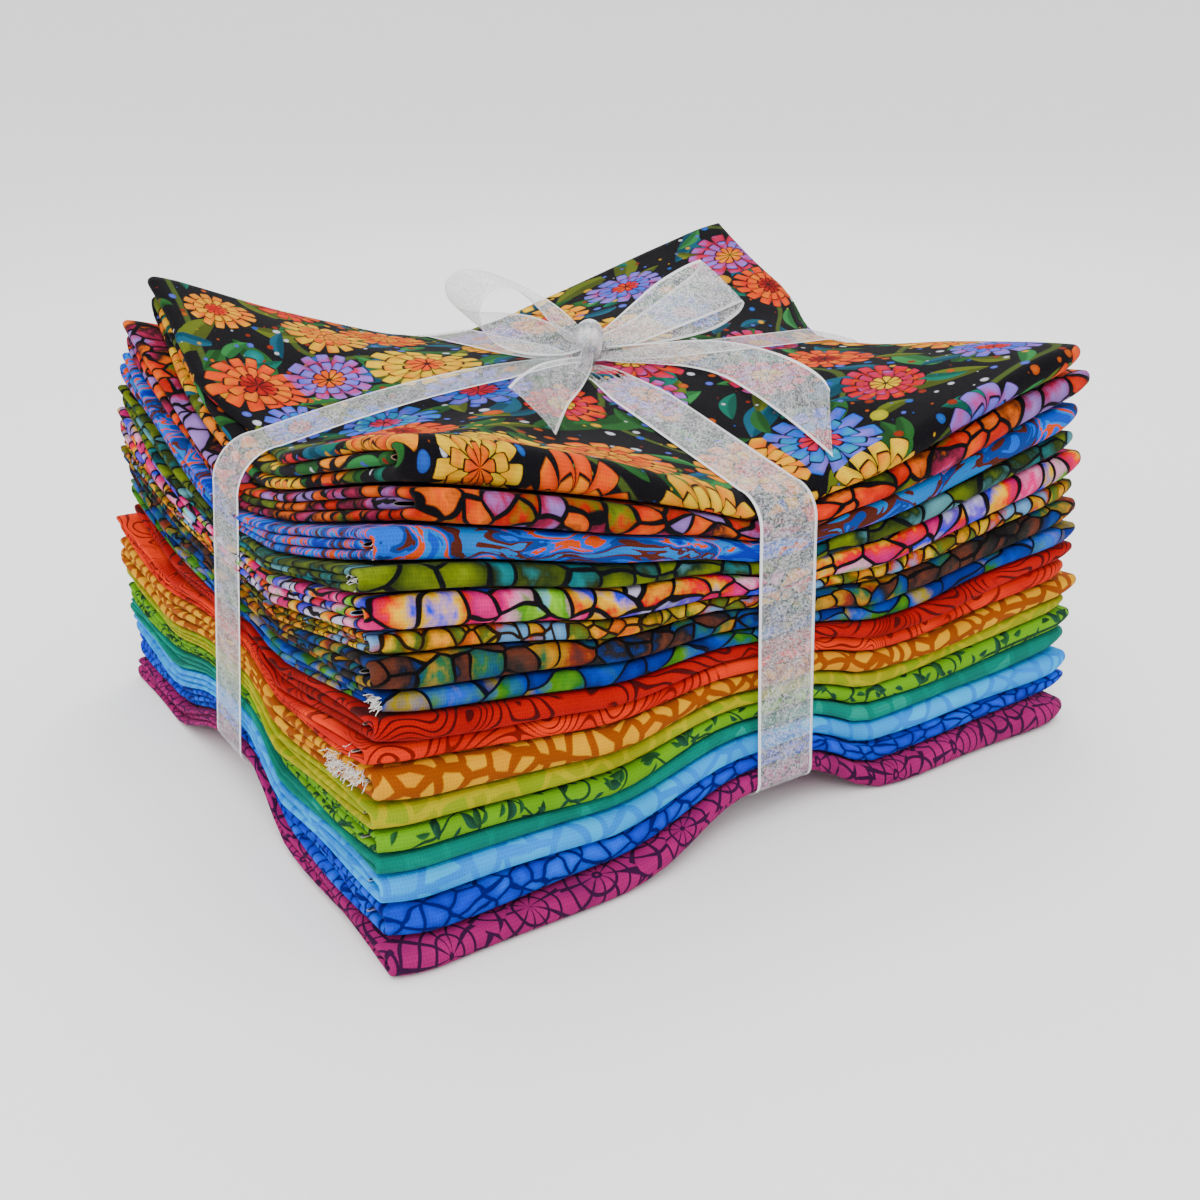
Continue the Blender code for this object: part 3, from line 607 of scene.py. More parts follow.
COTTONS = (
    Cotton("cotton_01_black_garden", (12.0, 9.5), 8.5, -1.4, 1.5, 4.0, 6.8, CottonFinish(
        "cotton_black_garden", Print.GARDEN, "#121015", ("#c24207", "#f08807"), 34.0, 0.8, "#0d0b10", seed=1.0,
        depth=0.62), bulge=1.05, slant=5.0, corner=(10.0, 2.5)),
    Cotton("cotton_02_black_cells", (9.0, 9.4), 6.1, -2.2, 0.5, 4.0, 1.2, CottonFinish(
        "cotton_black_cells", Print.CELLS, "#121015",
        ("#171a12", "#3c4a12", "#6a7a14", "#c21207", "#e83207", "#f36a07", "#1c1618", "#b02050", "#9a74c4"),
        6.4, 0.7, "#0d0b10", seed=2.0, depth=0.6), corner=(7.0, 0.0)),
    Cotton("cotton_03_blue_marble", (8.2, 9.3), 2.3, -1.1, 1.0, 2.0, 2.2, CottonFinish(
        "cotton_blue_marble", Print.MARBLE, "#076df3",
        ("#0728b7", "#0750d8", "#0788f0", "#e8500a", "#0768f0", "#12409a", "#5d271b", "#0a7fd8"), 11.0, 0.8, seed=3.0,
        depth=0.62), corner=(4.2, 2.0)),
    Cotton("cotton_04_teal_leaf", (6.5, 6.5), 0.3, -0.2, 1.5, 3.5, 1.8, CottonFinish(
        "cotton_teal_leaf", Print.CELLS, "#172226",
        ("#12363f", "#0c6a74", "#0a8a90", "#2c3a14", "#566814", "#7d9010", "#1f3a20", "#5fa0a8"),
        7.5, 0.6, "#0d1216", seed=4.0, depth=0.55), corner=(1.5, 1.7)),
    Cotton("cotton_05_bright_cells", (8.9, 10.0), 0.7, -3.4, 0.5, 1.0, 1.6, CottonFinish(
        "cotton_bright_cells", Print.CELLS, "#a9c8e8",
        ("#66c0f1", "#8fd02a", "#4f9a07", "#f0a0c8", "#f32281", "#c80770", "#ed0707", "#f3bd07", "#0733f3",
         "#6a4ad0", "#d8d0f0"), 7.0, 0.6, "#100d12", seed=5.0, depth=0.66)),
    Cotton("cotton_06_gold_moss", (5.3, 6.4), 1.8, -1.5, 2.5, 3.0, 0.2, CottonFinish(
        "cotton_gold_moss", Print.CELLS, "#a37a22",
        ("#b04a07", "#e86b07", "#f3a007", "#70600b", "#527126", "#f3bd07", "#c24207", "#68a0d0"),
        4.2, 0.4, "#2a1a0a", seed=6.0, depth=0.66)),
    Cotton("cotton_07_charcoal_stones", (8.2, 8.2), 1.7, -3.9, 1.0, 0.5, 0.1, CottonFinish(
        "cotton_charcoal_stones", Print.CELLS, "#2d2a27",
        ("#1d1c1c", "#2d2a27", "#6e3725", "#1f2023", "#0a3a94", "#2a6a3a", "#c88a10", "#8e2f17", "#26282a"),
        6.0, 0.45, "#0d0b0c", seed=7.0, depth=0.62), corner=(0.0, 2.0)),
    Cotton("cotton_08_royal_stones", (5.8, 6.2), 1.8, -5.0, 1.5, 2.5, 0.5, CottonFinish(
        "cotton_royal_stones", Print.CELLS, "#0734ab",
        ("#072391", "#0734ab", "#0a2a80", "#0744c8", "#2a7a22", "#5a9a10", "#0758e0", "#b09a0a", "#0a2f9a"),
        9.0, 0.4, "#0a1028", seed=8.0, depth=0.58)),
    Cotton("cotton_09_red_swirl", (6.6, 5.6), 0.2, -5.0, 0.0, 3.0, 0.4, CottonFinish(
        "cotton_red_swirl", Print.SWIRL, "#a00c08", ("#c40a07",), 26.0, 0.7, "#520a0c", seed=9.0,
        depth=0.64), corner=(0.0, 2.7)),
    Cotton("cotton_10_orange_swirl", (5.5, 6.8), -1.7, -2.2, 1.5, 1.5, 0.0, CottonFinish(
        "cotton_orange_swirl", Print.SWIRL, "#c81404", ("#ee3604",), 21.0, 0.7, "#7a1208", seed=10.0, depth=0.80)),
    Cotton("cotton_11_gold_pebble", (9.7, 6.6), -1.9, -6.2, 0.5, 4.0, -1.3, CottonFinish(
        "cotton_gold_pebble", Print.PEBBLE, "#a24c02", ("#e89400", "#eeaa00"), 5.8, 1.05, seed=11.0, depth=0.68)),
    Cotton("cotton_12_lime", (6.6, 4.8), -1.9, -4.0, 1.5, 0.0, 0.0, CottonFinish(
        "cotton_lime", Print.PEBBLE, "#a8a00a", ("#7f9a0a", "#8f920a"), 6.5, 0.7, seed=12.0, depth=0.86)),
    Cotton("cotton_13_green_vine", (5.9, 6.8), -1.2, -7.4, 1.0, 3.0, -0.3, CottonFinish(
        "cotton_green_vine", Print.LEAVES, "#5f9a0a", ("#173a22", "#20502a", "#1b4430"), 7.6, 0.7, "#173a22",
        seed=13.0, depth=0.9)),
    Cotton("cotton_14_teal", (4.8, 7.4), -2.2, -7.0, 1.0, 2.0, -0.3, CottonFinish(
        "cotton_teal", Print.PEBBLE, "#077263", ("#078d7a", "#076a5c"), 8.0, 0.8, seed=14.0, depth=0.95)),
    Cotton("cotton_15_sky", (8.0, 7.6), -2.1, -6.0, -0.5, 3.5, -0.4, CottonFinish(
        "cotton_sky", Print.PEBBLE, "#0682e2", ("#02aef0", "#049aec"), 8.0, 0.9, seed=15.0, depth=0.86)),
    Cotton("cotton_16_blue_pebble", (8.6, 4.6), -0.6, -7.4, -1.5, 1.0, 0.6, CottonFinish(
        "cotton_blue_pebble", Print.CELLS, "#071d91", ("#0735d8", "#0a4ae8", "#0730c8", "#0a58ea"), 4.2, 0.45,
        "#070f6e", seed=16.0, depth=0.72)),
    Cotton("cotton_17_magenta_fan", (6.8, 9.4), -2.3, 1.2, -6.6, 3.0, 0.0, CottonFinish(
        "cotton_magenta_fan", Print.SCALLOP, "#8c195e", ("#6c1852", "#a41c6a"), 14.0, 0.7, "#38103a", seed=17.0,
        depth=0.76)),
)


def levels(side: int) -> np.ndarray:
    """Give the level of each seam, from 1 at the top to 0, at the left (0) or the right (1)."""
    lofts = np.array([cotton.loft[side] for cotton in COTTONS])
    return 1 - np.concatenate([[0.0], np.cumsum(lofts)]) / lofts.sum()


SEAM_LEVELS = (levels(0), levels(1))


@dataclass(frozen=True)
class Crease:
    """A soft ridge (or, with a negative height, a trough) on the top cloth between two places."""

    start: Pair
    end: Pair
    height: float
    width: float

    def rise(self, x: np.ndarray, y: np.ndarray) -> np.ndarray:
        """Give the crease's height at each place."""
        run = np.subtract(self.end, self.start)
        share = ((x - self.start[0]) * run[0] + (y - self.start[1]) * run[1]) / (run @ run)
        share = np.clip(share, 0.0, 1.0)
        away = np.hypot(x - self.start[0] - run[0] * share, y - self.start[1] - run[1] * share)
        fade = np.sin(np.pi * np.clip(share, 0.04, 0.96))
        return self.height * fade * np.exp(-((away / self.width) ** 2))


TOP_CREASES = (
    Crease((-14, -14), (-106, -88), 1.6, 12.0),
    Crease((14, -14), (104, -86), 1.4, 13.0),
    Crease((-14, 14), (-92, 90), 1.8, 13.0),
    Crease((14, 14), (108, 88), 1.6, 14.0),
    Crease((-30, -40), (-74, -92), -0.9, 7.0),
    Crease((22, -44), (62, -92), 0.9, 6.0),
    Crease((-56, 16), (-96, 58), -1.0, 8.0),
    Crease((34, 22), (84, 46), -0.8, 7.0),
    Crease((-52, -14), (-98, -44), 1.0, 6.0),
)


@dataclass(frozen=True)
class StackShape:
    """Heights of the tied stack: the valleys and ridges of its solids, with softer bends."""

    half_long: float = 114.5
    half_short: float = 97.5
    centre: float = 108.0
    dips: tuple[float, float, float, float] = (97.5, 106.0, 89.0, 103.5)
    corners: tuple[float, float, float, float] = (126.5, 120.5, 129.0, 137.0)
    sag: tuple[float, float, float, float] = (-0.5, -0.35, 0.1, 0.25)
    flat: float = 10.0
    bend_x: Pair = (58.0, 35.0)
    bend_y: Pair = (38.0, 56.0)
    squeeze: float = 4.2
    groove: float = 1.8
    end_lift: float = 9.0
    side_lift: float = 11.0
    softness: float = 1.6
    springs: tuple[Pair, ...] = ((13.5, 1.5), (8.0, 0.0), (4.7, 0.0), (3.0, 0.0), (1.2, 0.0))
    end_round: float = 13.0
    side_round: float = 9.0
    press_reach: float = 44.0
    lean: tuple[float, float, float] = (4.4, 2.0, -2.2)

    def lean_in(self, share: np.ndarray | float, along_x: bool) -> np.ndarray | float:
        """Give how far a tie's upright stretch stands in, at a share of the way down."""
        return self.lean[0 if along_x else 1] * (1 - share) + self.lean[2] * share

    def quadrant(self, values: tuple[float, float, float, float], x: np.ndarray, y: np.ndarray) -> np.ndarray:
        """Pick the front-left, front-right, back-left or back-right value at each place."""
        return np.where(x < 0, np.where(y < 0, values[0], values[2]), np.where(y < 0, values[1], values[3]))

    def shoulder(self, depth: np.ndarray, radius: float) -> np.ndarray:
        """Give how far an edge that a tie presses round stands in, at a depth below the top."""
        left = np.clip(1 - depth / radius, 0, 1)
        return radius * (1 - np.sqrt(1 - left ** 2))

    def share(self, distance: np.ndarray, start: float, end: float, softer: float = 1.0) -> np.ndarray:
        """Give how far a distance lies on the way from start to end, with a soft start."""
        beyond = np.abs(distance) - start
        return 0.5 * (beyond + np.sqrt(beyond ** 2 + 4 * (softer * self.softness) ** 2)) / (end - start)

    def near(self, distance: np.ndarray, end: float) -> np.ndarray:
        """Give 1 under a tie, falling softly to 0 at end."""
        left = 1 - rising(np.abs(distance), self.flat, end)
        return left * left * (3 - 2 * left)

    def top(self, x: np.ndarray, y: np.ndarray) -> np.ndarray:
        """Give the height of the stack's top."""
        left_dip, right_dip, front_dip, back_dip = self.dips
        along = self.share(x, self.flat, self.half_long)
        across = self.share(y, self.flat, self.half_short)
        side = np.where(x < 0, left_dip, right_dip)
        end = np.where(y < 0, front_dip, back_dip)
        corner = self.quadrant(self.corners, x, y)
        curved = along + self.quadrant(self.sag, x, y) * (along * along - along)
        inner = self.centre * (1 - along) + side * along
        outer = end * (1 - curved) + corner * curved
        return inner * (1 - across) + outer * across

    def bottom(self, x: np.ndarray, y: np.ndarray) -> np.ndarray:
        """Give the height of the stack's underside."""
        bend, bend_back = np.where(x < 0, *self.bend_x), np.where(y < 0, *self.bend_y)
        near_long, near_side = self.near(x, bend), self.near(y, bend_back)
        end_lift = self.end_lift * near_long * np.clip(self.share(y, bend_back, self.half_short, 3.5), 0, 1.1)
        side_lift = self.side_lift * near_side * np.clip(self.share(x, bend, self.half_long, 3.5), 0, 1.1)
        return self.groove * np.maximum(near_long, near_side) + end_lift + side_lift

    def seam(self, index: int, x: np.ndarray, y: np.ndarray) -> np.ndarray:
        """Give the height of the seam between two cottons.

        Args:
            index: How many cottons lie above the seam.
            x: Places along the stack.
            y: Places across it.

        Returns:
            Heights in millimetres.
        """
        low, high = self.bottom(x, y), self.top(x, y)
        place = np.clip((x + self.half_long) / (2 * self.half_long), 0, 1)
        level = SEAM_LEVELS[0][index] * (1 - place) + SEAM_LEVELS[1][index] * place
        outward = self.share(y, self.flat, self.half_short)
        height = low + (high - low) * level
        height = height + self.squeeze * 4 * level * (1 - level) * self.near(x, 60.0) * np.clip(outward, 0, 1)
        if index < len(self.springs):
            left, right = self.springs[index]
            corner = (self.share(x, self.flat, self.half_long) * outward) ** 1.6
            height = height + np.where(y > 0, corner * np.where(x < 0, left, right), 0.0)
        if index == 0:
            ridges = sum(crease.rise(x, y) for crease in TOP_CREASES)
            beside = np.exp(-(((np.abs(x) - 14) / 5) ** 2)) + np.exp(-(((np.abs(y) - 14) / 5) ** 2))
            return height + ridges + 0.5 * beside
        if index == len(COTTONS):
            return height
        phase = index * 2.399
        ripple = np.sin(x / 17 + phase) * np.cos(y / 21 + 1.7 * phase)
        ripple = ripple + 0.7 * np.sin((x - 0.8 * y) / 11 + 2.3 * phase)
        return height + 0.34 * ripple * (high - low) / self.corners[0]


def stations(*runs: tuple[float, float, int]) -> np.ndarray:
    """Join evenly spaced runs of (start, end, steps) into one list of places."""
    parts = [np.linspace(start, end, steps, endpoint=False) for start, end, steps in runs]
    return np.concatenate([*parts, [runs[-1][1]]])


def leaf_places(half: float, edge: float, close: int, middle: int) -> np.ndarray:
    """Give places over one layer, closer together at its edges and under the ties."""
    return stations((-half, -edge, 4), (-edge, -14, close), (-14, 14, middle), (14, edge, close),
                    (edge, half, 4))


def shaped_grid(name: str, columns: int, rows: int) -> tuple[bpy.types.Mesh, np.ndarray, np.ndarray]:
    """Make a flat grid and say which column and row each vertex is in.

    Args:
        name: Name of the mesh.
        columns: Number of faces across.
        rows: Number of faces along.

    Returns:
        The mesh, and the column and the row of each vertex.
    """
    bm = bmesh.new()
    bmesh.ops.create_grid(bm, x_segments=columns, y_segments=rows, size=1.0)
    mesh = smooth_mesh(bm, name)
    place = np.zeros(len(mesh.vertices) * 3)
    mesh.vertices.foreach_get("co", place)
    place = place.reshape(-1, 3)
    column = np.rint((place[:, 0] + 1) / 2 * columns).astype(int)
    row = np.rint((place[:, 1] + 1) / 2 * rows).astype(int)
    return mesh, column, row


def place_grid(mesh: bpy.types.Mesh, points: np.ndarray, cloth: np.ndarray) -> None:
    """Move a grid's vertices to their places and give it the cloth's own coordinates.

    Args:
        mesh: The grid.
        points: Places of the vertices, in millimetres.
        cloth: Places of the vertices on the flat cloth, in millimetres.
    """
    mesh.vertices.foreach_set("co", (points * MM).astype(np.float32).ravel())
    layer = mesh.uv_layers.new(name="cloth")
    corner = np.zeros(len(mesh.loops), dtype=np.int32)
    mesh.loops.foreach_get("vertex_index", corner)
    layer.data.foreach_set("uv", (cloth[corner] / CUT_LENGTH).astype(np.float32).ravel())
    mesh.update()


def add_piece(name: str, mesh: bpy.types.Mesh, materials: list[bpy.types.Material]) -> bpy.types.Object:
    """Link a mesh as a piece at the origin, with its materials."""
    piece = bpy.data.objects.new(name, mesh)
    for material in materials:
        mesh.materials.append(material)
    bpy.context.scene.collection.objects.link(piece)
    return piece


@dataclass
class FoldedCotton:
    """One folded cotton: a doubled sheet in three layers, between two seams of the stack."""

    cotton: Cotton
    index: int
    shape: StackShape
    fine: bool = False
    gap: float = 0.5
    lobe: float = 1.35
    tuck: float = 11.5
    taper: float = 0.66
    rounding: float = 2.6
    pinch: float = 0.16
    held_back: float = 0.8

    def build(self) -> bpy.types.Object:
        mesh = self._mesh()
        finish = self.cotton.finish
        piece = add_piece(finish.name, mesh, [finish.printed(), finish.plain_reverse()])
        wall = piece.modifiers.new("cloth thickness", "SOLIDIFY")
        wall.thickness = CLOTH_THICKNESS * MM
        wall.offset = 0.0
        wall.use_even_offset = False
        wall.material_offset = 1
        wall.material_offset_rim = 1
        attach(piece, BODY)
        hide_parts(self.cotton.node)
        threads = [fray.build(self.shape) for fray in FRAYS if fray.index == self.index]
        LOG.info("%s: %d faces", piece.name, len(mesh.polygons))
        return piece

    def _columns(self) -> tuple[np.ndarray, np.ndarray, np.ndarray]:
        """Give each column's place along X, its turn round the left fold, and its place on the cut."""
        leaf = leaf_places(self.shape.half_long, 104, *((24, 14) if self.fine else (13, 8)))
        bend = np.linspace(90, -90, 9)[1:-1]
        place = np.concatenate([leaf[::-1], np.full(len(bend), leaf[0]), leaf])
        turn = np.radians(np.concatenate([np.full(len(leaf), 90.0), bend, np.full(len(leaf), -90.0)]))
        steps = np.abs(np.diff(place)) + np.abs(np.diff(turn)) * self.lobe
        run = np.concatenate([[0.0], np.cumsum(steps)])
        return place, turn, run / run[-1] * CUT_WIDTH

    def _rows(self) -> dict[str, np.ndarray]:
        """Give each row's place along Y, the fold that it belongs to, and its turn round that fold."""
        leaf = leaf_places(self.shape.half_short, 88, *((18, 12) if self.fine else (10, 6)))
        inner_end = self.tuck - self.shape.half_short
        short = np.append(leaf[::-1][leaf[::-1] > inner_end], inner_end)
        wrap, back = np.linspace(90, -90, 11)[1:-1], np.linspace(-90, 90, 8)[1:-1]
        closing = np.array([0.45, 0.75, 0.9])
        blocks = (
            (leaf[::-1], 90.0, 0, 0.0), (np.full(len(wrap), leaf[0]), wrap, 0, 0.0), (leaf, -90.0, 0, 0.0),
            (np.full(len(back), leaf[-1]), back, 1, 0.0), (short, 90.0, 1, 0.0),
            (np.full(3, short[-1]), 90.0, 1, closing),
        )
        rows = {key: [] for key in ("place", "turn", "fold", "close")}
        for place, turn, fold, close_share in blocks:
            for key, value in (("place", place), ("turn", turn), ("fold", fold), ("close", close_share)):
                rows[key].append(np.broadcast_to(value, place.shape))
        joined = {key: np.concatenate(value) for key, value in rows.items()}
        joined["turn"] = np.radians(joined["turn"])
        arc = 0.3 * self.cotton.loft[0]
        steps = np.abs(np.diff(joined["place"])) + np.abs(np.diff(joined["turn"])) * arc
        steps = steps + np.diff(joined["close"]) ** 2
        run = np.concatenate([[0.0], np.cumsum(np.abs(steps))])
        joined["run"] = run / run[-1] * CUT_LENGTH
        return joined

    def _mesh(self) -> bpy.types.Mesh:
        """Fold the sheet."""
        cotton, shape = self.cotton, self.shape
        columns, rows = self._columns(), self._rows()
        mesh, column, row = shaped_grid(cotton.finish.name, len(columns[0]) - 1, len(rows["place"]) - 1)
        flat_x, fold_turn, along_cut = (values[column] for values in columns)
        row_keys = ("place", "turn", "fold", "close", "run")
        flat_y, turn, fold, close, down_cut = (rows[key][row] for key in row_keys)

        thick = self._thickness(flat_x, flat_y)
        right_share = rising(flat_x, 98, shape.half_long) ** 1.5
        taper = 1 - (1 - self.taper) * right_share
        leaf = np.maximum(0.45 * thick / 3 - 0.15, 0.2) * taper
        half = np.where(fold == 0, 1 / 3, 1 / 6) * thick * taper
        depth = np.where(fold == 0, cotton.bulge, 1.0) * half
        outward = np.where(fold == 0, -1.0, 1.0)
        centre = np.where(fold == 0, 1 / 2, 1 / 3)
        reach = np.where(fold == 0, 1 / 3, 1 / 6)
        level = self._floor(flat_x, flat_y) + thick * (centre + reach * np.sin(turn))
        below = shape.seam(0, flat_x, flat_y) - level

        x = flat_x + self._side_shift(flat_x, flat_y, fold_turn, down_cut, below)
        x = x - self.lobe * leaf * np.cos(fold_turn)
        y = flat_y + self._end_shift(flat_x, flat_y, leaf, depth, fold, below)
        y = y + outward * depth * np.cos(turn) - leaf * close
        offset = leaf * np.sin(fold_turn) * np.sqrt(1 - close ** 2)
        slope_y, slope_z = outward * np.cos(turn) / depth, np.sin(turn) / half
        size = np.hypot(slope_y, slope_z)
        y = y + offset * slope_y / size

        thick = self._thickness(x, y)
        pinched = 1 - self.pinch * self._corner(flat_x, flat_y)
        share = 0.5 + (centre + reach * np.sin(turn) - 0.5) * taper * pinched
        z = self._floor(x, y) + thick * share + offset * slope_z / size
        points = np.stack([x, y, z], axis=1)
        place_grid(mesh, points, np.stack([along_cut, down_cut], axis=1))
        return mesh

    def _floor(self, x: np.ndarray, y: np.ndarray) -> np.ndarray:
        """Give the height of the cotton's own underside."""
        lowest = self.index + 1 == len(COTTONS)
        return self.shape.seam(self.index + 1, x, y) + (0.05 if lowest else self.gap / 2)

    def _thickness(self, x: np.ndarray, y: np.ndarray) -> np.ndarray:
        """Give the height between the cotton's two faces."""
        return self.shape.seam(self.index, x, y) - self.gap / 2 - self._floor(x, y)

    def _corner(self, x: np.ndarray, y: np.ndarray) -> np.ndarray:
        """Give 1 at the ends of the front wrap, falling to 0 away from them."""
        return rising(np.abs(x), 103, self.shape.half_long) ** 2 * rising(-y, 80, self.shape.half_short)

    def _pressed(self, inset: np.ndarray | float, press: np.ndarray, lean: np.ndarray) -> np.ndarray:
        """Give an edge's inset where a leaning tie holds the edge back."""
        return inset + np.maximum(self.held_back + lean - inset, 0) * press

    def _share_down(self, x: np.ndarray, y: np.ndarray, below: np.ndarray) -> np.ndarray:
        """Give a depth below the top as a share of the stack's height there."""
        return np.clip(below / (self.shape.top(x, y) - self.shape.bottom(x, y)), 0, 1)

    def _side_shift(self, x: np.ndarray, y: np.ndarray, turn: np.ndarray, run: np.ndarray,
                    below: np.ndarray) -> np.ndarray:
        """Give how far the left folds and the right raw ends stand in, unevenly from layer to layer."""
        shape = self.shape
        phase = self.index * 1.9
        press = shape.near(y, shape.press_reach)
        uneven = 0.8 * np.sin(run / 29 + phase) + 0.5 * np.sin(run / 11 + 2.1 * phase)
        leaf_side = np.where(turn > 0, 0.5, -0.5) * np.sin(run / 47 + phase)
        rounded = shape.shoulder(below, shape.end_round) * press
        lean = shape.lean_in(self._share_down(x, y, below), True)
        outer = rising(np.abs(y), 20, shape.half_short)
        left = self.cotton.left + np.where(y < 0, *self.cotton.corner) * outer + self.lobe * 0.9 + uneven
        left = self._pressed(left, press, lean) + rounded
        right = self.cotton.right + 0.7 * np.sin(run / 37 + 0.6 * phase) + leaf_side + 0.6
        right = self._pressed(right, press, lean) + rounded
        near_left, near_right = (rising(sign * x, 55, shape.half_long) for sign in (-1, 1))
        sway = self.cotton.skew * y / shape.half_short * rising(np.abs(x), 0, 60)
        return left * near_left - right * near_right + sway

    def _end_shift(self, x: np.ndarray, y: np.ndarray, leaf: np.ndarray, depth: np.ndarray,
                   fold: np.ndarray, below: np.ndarray) -> np.ndarray:
        """Give how far the front wrap and the back edges stand in."""
        shape = self.shape
        phase = self.index * 2.7
        press = shape.near(x, shape.press_reach)
        pull = 1.6 * shape.near(x, shape.bend_x[0]) + shape.shoulder(below, shape.side_round) * press
        uneven = 0.45 * np.sin(x / 23 + phase) + 0.3 * np.sin(x / 9 + 1.3 * phase)
        corner = self.rounding * self._corner(x, np.full_like(x, -shape.half_short))
        lean = shape.lean_in(self._share_down(x, y, below), False)
        front = self._pressed(self.cotton.front, press, lean) + pull + uneven + corner + leaf
        front = front + CLOTH_THICKNESS / 2 + np.where(fold == 0, depth, 0)
        back = self.cotton.back + self.cotton.slant * np.clip(x / 110, 0, 1)
        back = self._pressed(back, press, lean) + pull - uneven + 0.4 * corner + leaf
        back = back + np.where(fold == 1, depth, 0)
        near_front, near_back = (rising(sign * y, 60, shape.half_short) for sign in (-1, 1))
        return front * near_front * np.where((fold == 1) & (y < 0), 0, 1) - back * near_back


@dataclass(frozen=True)
class Fray:
    """White thread ends and fluff at a raw end, by the left folds near the front.

    index is the cotton, place its Y, spread how far the threads reach along Y, count how many
    there are, length how long they are and out how far they stand out.
    """

    index: int
    place: float
    spread: float
    count: int
    length: float
    out: float
    level: float = 0.5
    radius: float = 0.09
    colour: str = "#dcdad4"

    def build(self, shape: StackShape) -> bpy.types.Object:
        """Build the threads as thin, bent tubes."""
        cotton = COTTONS[self.index]
        random = np.random.default_rng(100 + self.index)
        bm = bmesh.new()
        for _ in range(self.count):
            y = self.place + self.spread * (random.random() - 0.5)
            outer = rising(abs(y), 20, shape.half_short)
            x = -shape.half_long + cotton.left + cotton.corner[0] * outer + 1.0
            x = x + cotton.skew * y / shape.half_short
            foot = np.array([x]), np.array([y])
            high, low = (float(shape.seam(self.index + step, *foot)[0]) for step in (0, 1))
            level = self.level + 0.5 * (random.random() - 0.5)
            point = np.array([x, y, low + (high - low) * level])
            ahead = np.array([-self.out * (0.4 + 0.6 * random.random()), 1.6 * (random.random() - 0.5),
                              1.1 * (random.random() - 0.6)])
            for _ in range(4):
                ahead = ahead / np.linalg.norm(ahead) * self.length / 4 * (0.6 + 0.6 * random.random())
                self._link(bm, point, point + ahead)
                point = point + ahead
                curl = self.length / 4 * np.array([0.2, 1.0, 1.0])
                ahead = ahead + curl * (random.random(3) - (0.2, 0.5, 0.62))
        mesh = smooth_mesh(bm, f"{cotton.finish.name}_fray")
        looks = {"Base Color": linear_colour(self.colour), "Roughness": 0.9}
        piece = add_piece(mesh.name, mesh, [start_material(mesh.name, looks)[0]])
        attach(piece, BODY)
        return piece

    def _link(self, bm: bmesh.types.BMesh, start: np.ndarray, end: np.ndarray) -> None:
        """Add one straight stretch of thread."""
        run = Vector(end - start)
        middle = Matrix.Translation(Vector((start + end) / 2) * MM)
        place = middle @ run.to_track_quat("Z", "Y").to_matrix().to_4x4()
        bmesh.ops.create_cone(bm, cap_ends=True, segments=5, radius1=self.radius * MM,
                              radius2=self.radius * MM, depth=run.length * MM, matrix=place)


FRAYS = (
    Fray(2, -90.5, 2.5, 14, 1.7, 1.2, level=0.4),
    Fray(3, -88.5, 4.0, 14, 2.2, 1.2),
    Fray(7, -91.5, 5.0, 30, 2.3, 1.5, level=0.6),
    Fray(9, -84.0, 3.0, 3, 3.5, 1.3),
    Fray(10, -80.0, 17.0, 130, 4.2, 1.5, level=0.66),
)


Row = tuple[tuple[float, float, float], tuple[float, float, float]]

LEFT_LOOP: tuple[Row, ...] = (
    ((-1.0, -1.5, -2.0), (1.5, 2.3, 0.0)),
    ((-8.6, -3.0, -2.6), (-4.0, 5.0, 2.5)),
    ((-15.5, -3.0, -2.0), (-8.5, 8.0, 5.5)),
    ((-22.4, -2.0, -0.8), (-14.0, 11.0, 7.8)),
    ((-28.4, -1.0, 1.2), (-20.5, 14.0, 8.8)),
    ((-32.4, 0.0, 4.0), (-26.5, 16.5, 9.2)),
    ((-34.7, 1.0, 7.5), (-31.5, 18.8, 10.0)),
    ((-35.4, 1.2, 11.4), (-34.6, 19.8, 12.4)),
    ((-34.4, 1.6, 14.8), (-35.8, 20.6, 16.2)),
    ((-31.9, 1.8, 17.0), (-34.6, 20.5, 19.3)),
    ((-28.2, 1.8, 18.2), (-30.0, 20.4, 21.2)),
    ((-23.6, 1.0, 17.4), (-22.6, 19.6, 20.2)),
    ((-19.5, 0.0, 14.6), (-15.5, 17.6, 17.4)),
    ((-16.2, -1.0, 10.9), (-9.6, 13.4, 14.0)),
    ((-12.4, -2.0, 6.4), (-5.0, 8.0, 10.4)),
    ((-7.6, -2.0, 2.4), (-1.8, 3.4, 6.4)),
    ((-1.5, -1.0, -0.4), (1.9, 2.0, 2.2)),
)
RIGHT_LOOP: tuple[Row, ...] = (
    ((4.0, -2.0, -1.6), (5.0, 2.2, 2.0)),
    ((15.0, -3.0, -1.2), (14.0, 5.8, 5.0)),
    ((27.0, -3.0, 1.0), (24.0, 8.6, 9.4)),
    ((39.5, -3.0, 3.4), (32.5, 9.6, 13.8)),
    ((50.0, -3.0, 5.6), (41.0, 8.4, 17.8)),
    ((56.6, -3.0, 7.2), (47.8, 8.4, 19.6)),
    ((57.6, -3.2, 6.4), (48.8, 8.6, 18.8)),
    ((54.6, -3.6, 3.6), (46.0, 8.4, 15.8)),
    ((46.0, -4.0, 0.2), (38.0, 8.6, 11.2)),
    ((35.0, -4.0, -1.5), (29.0, 8.6, 6.4)),
    ((21.0, -3.4, -2.6), (19.0, 6.6, 2.8)),
    ((5.0, -2.0, -2.6), (6.0, 2.3, 0.4)),
)
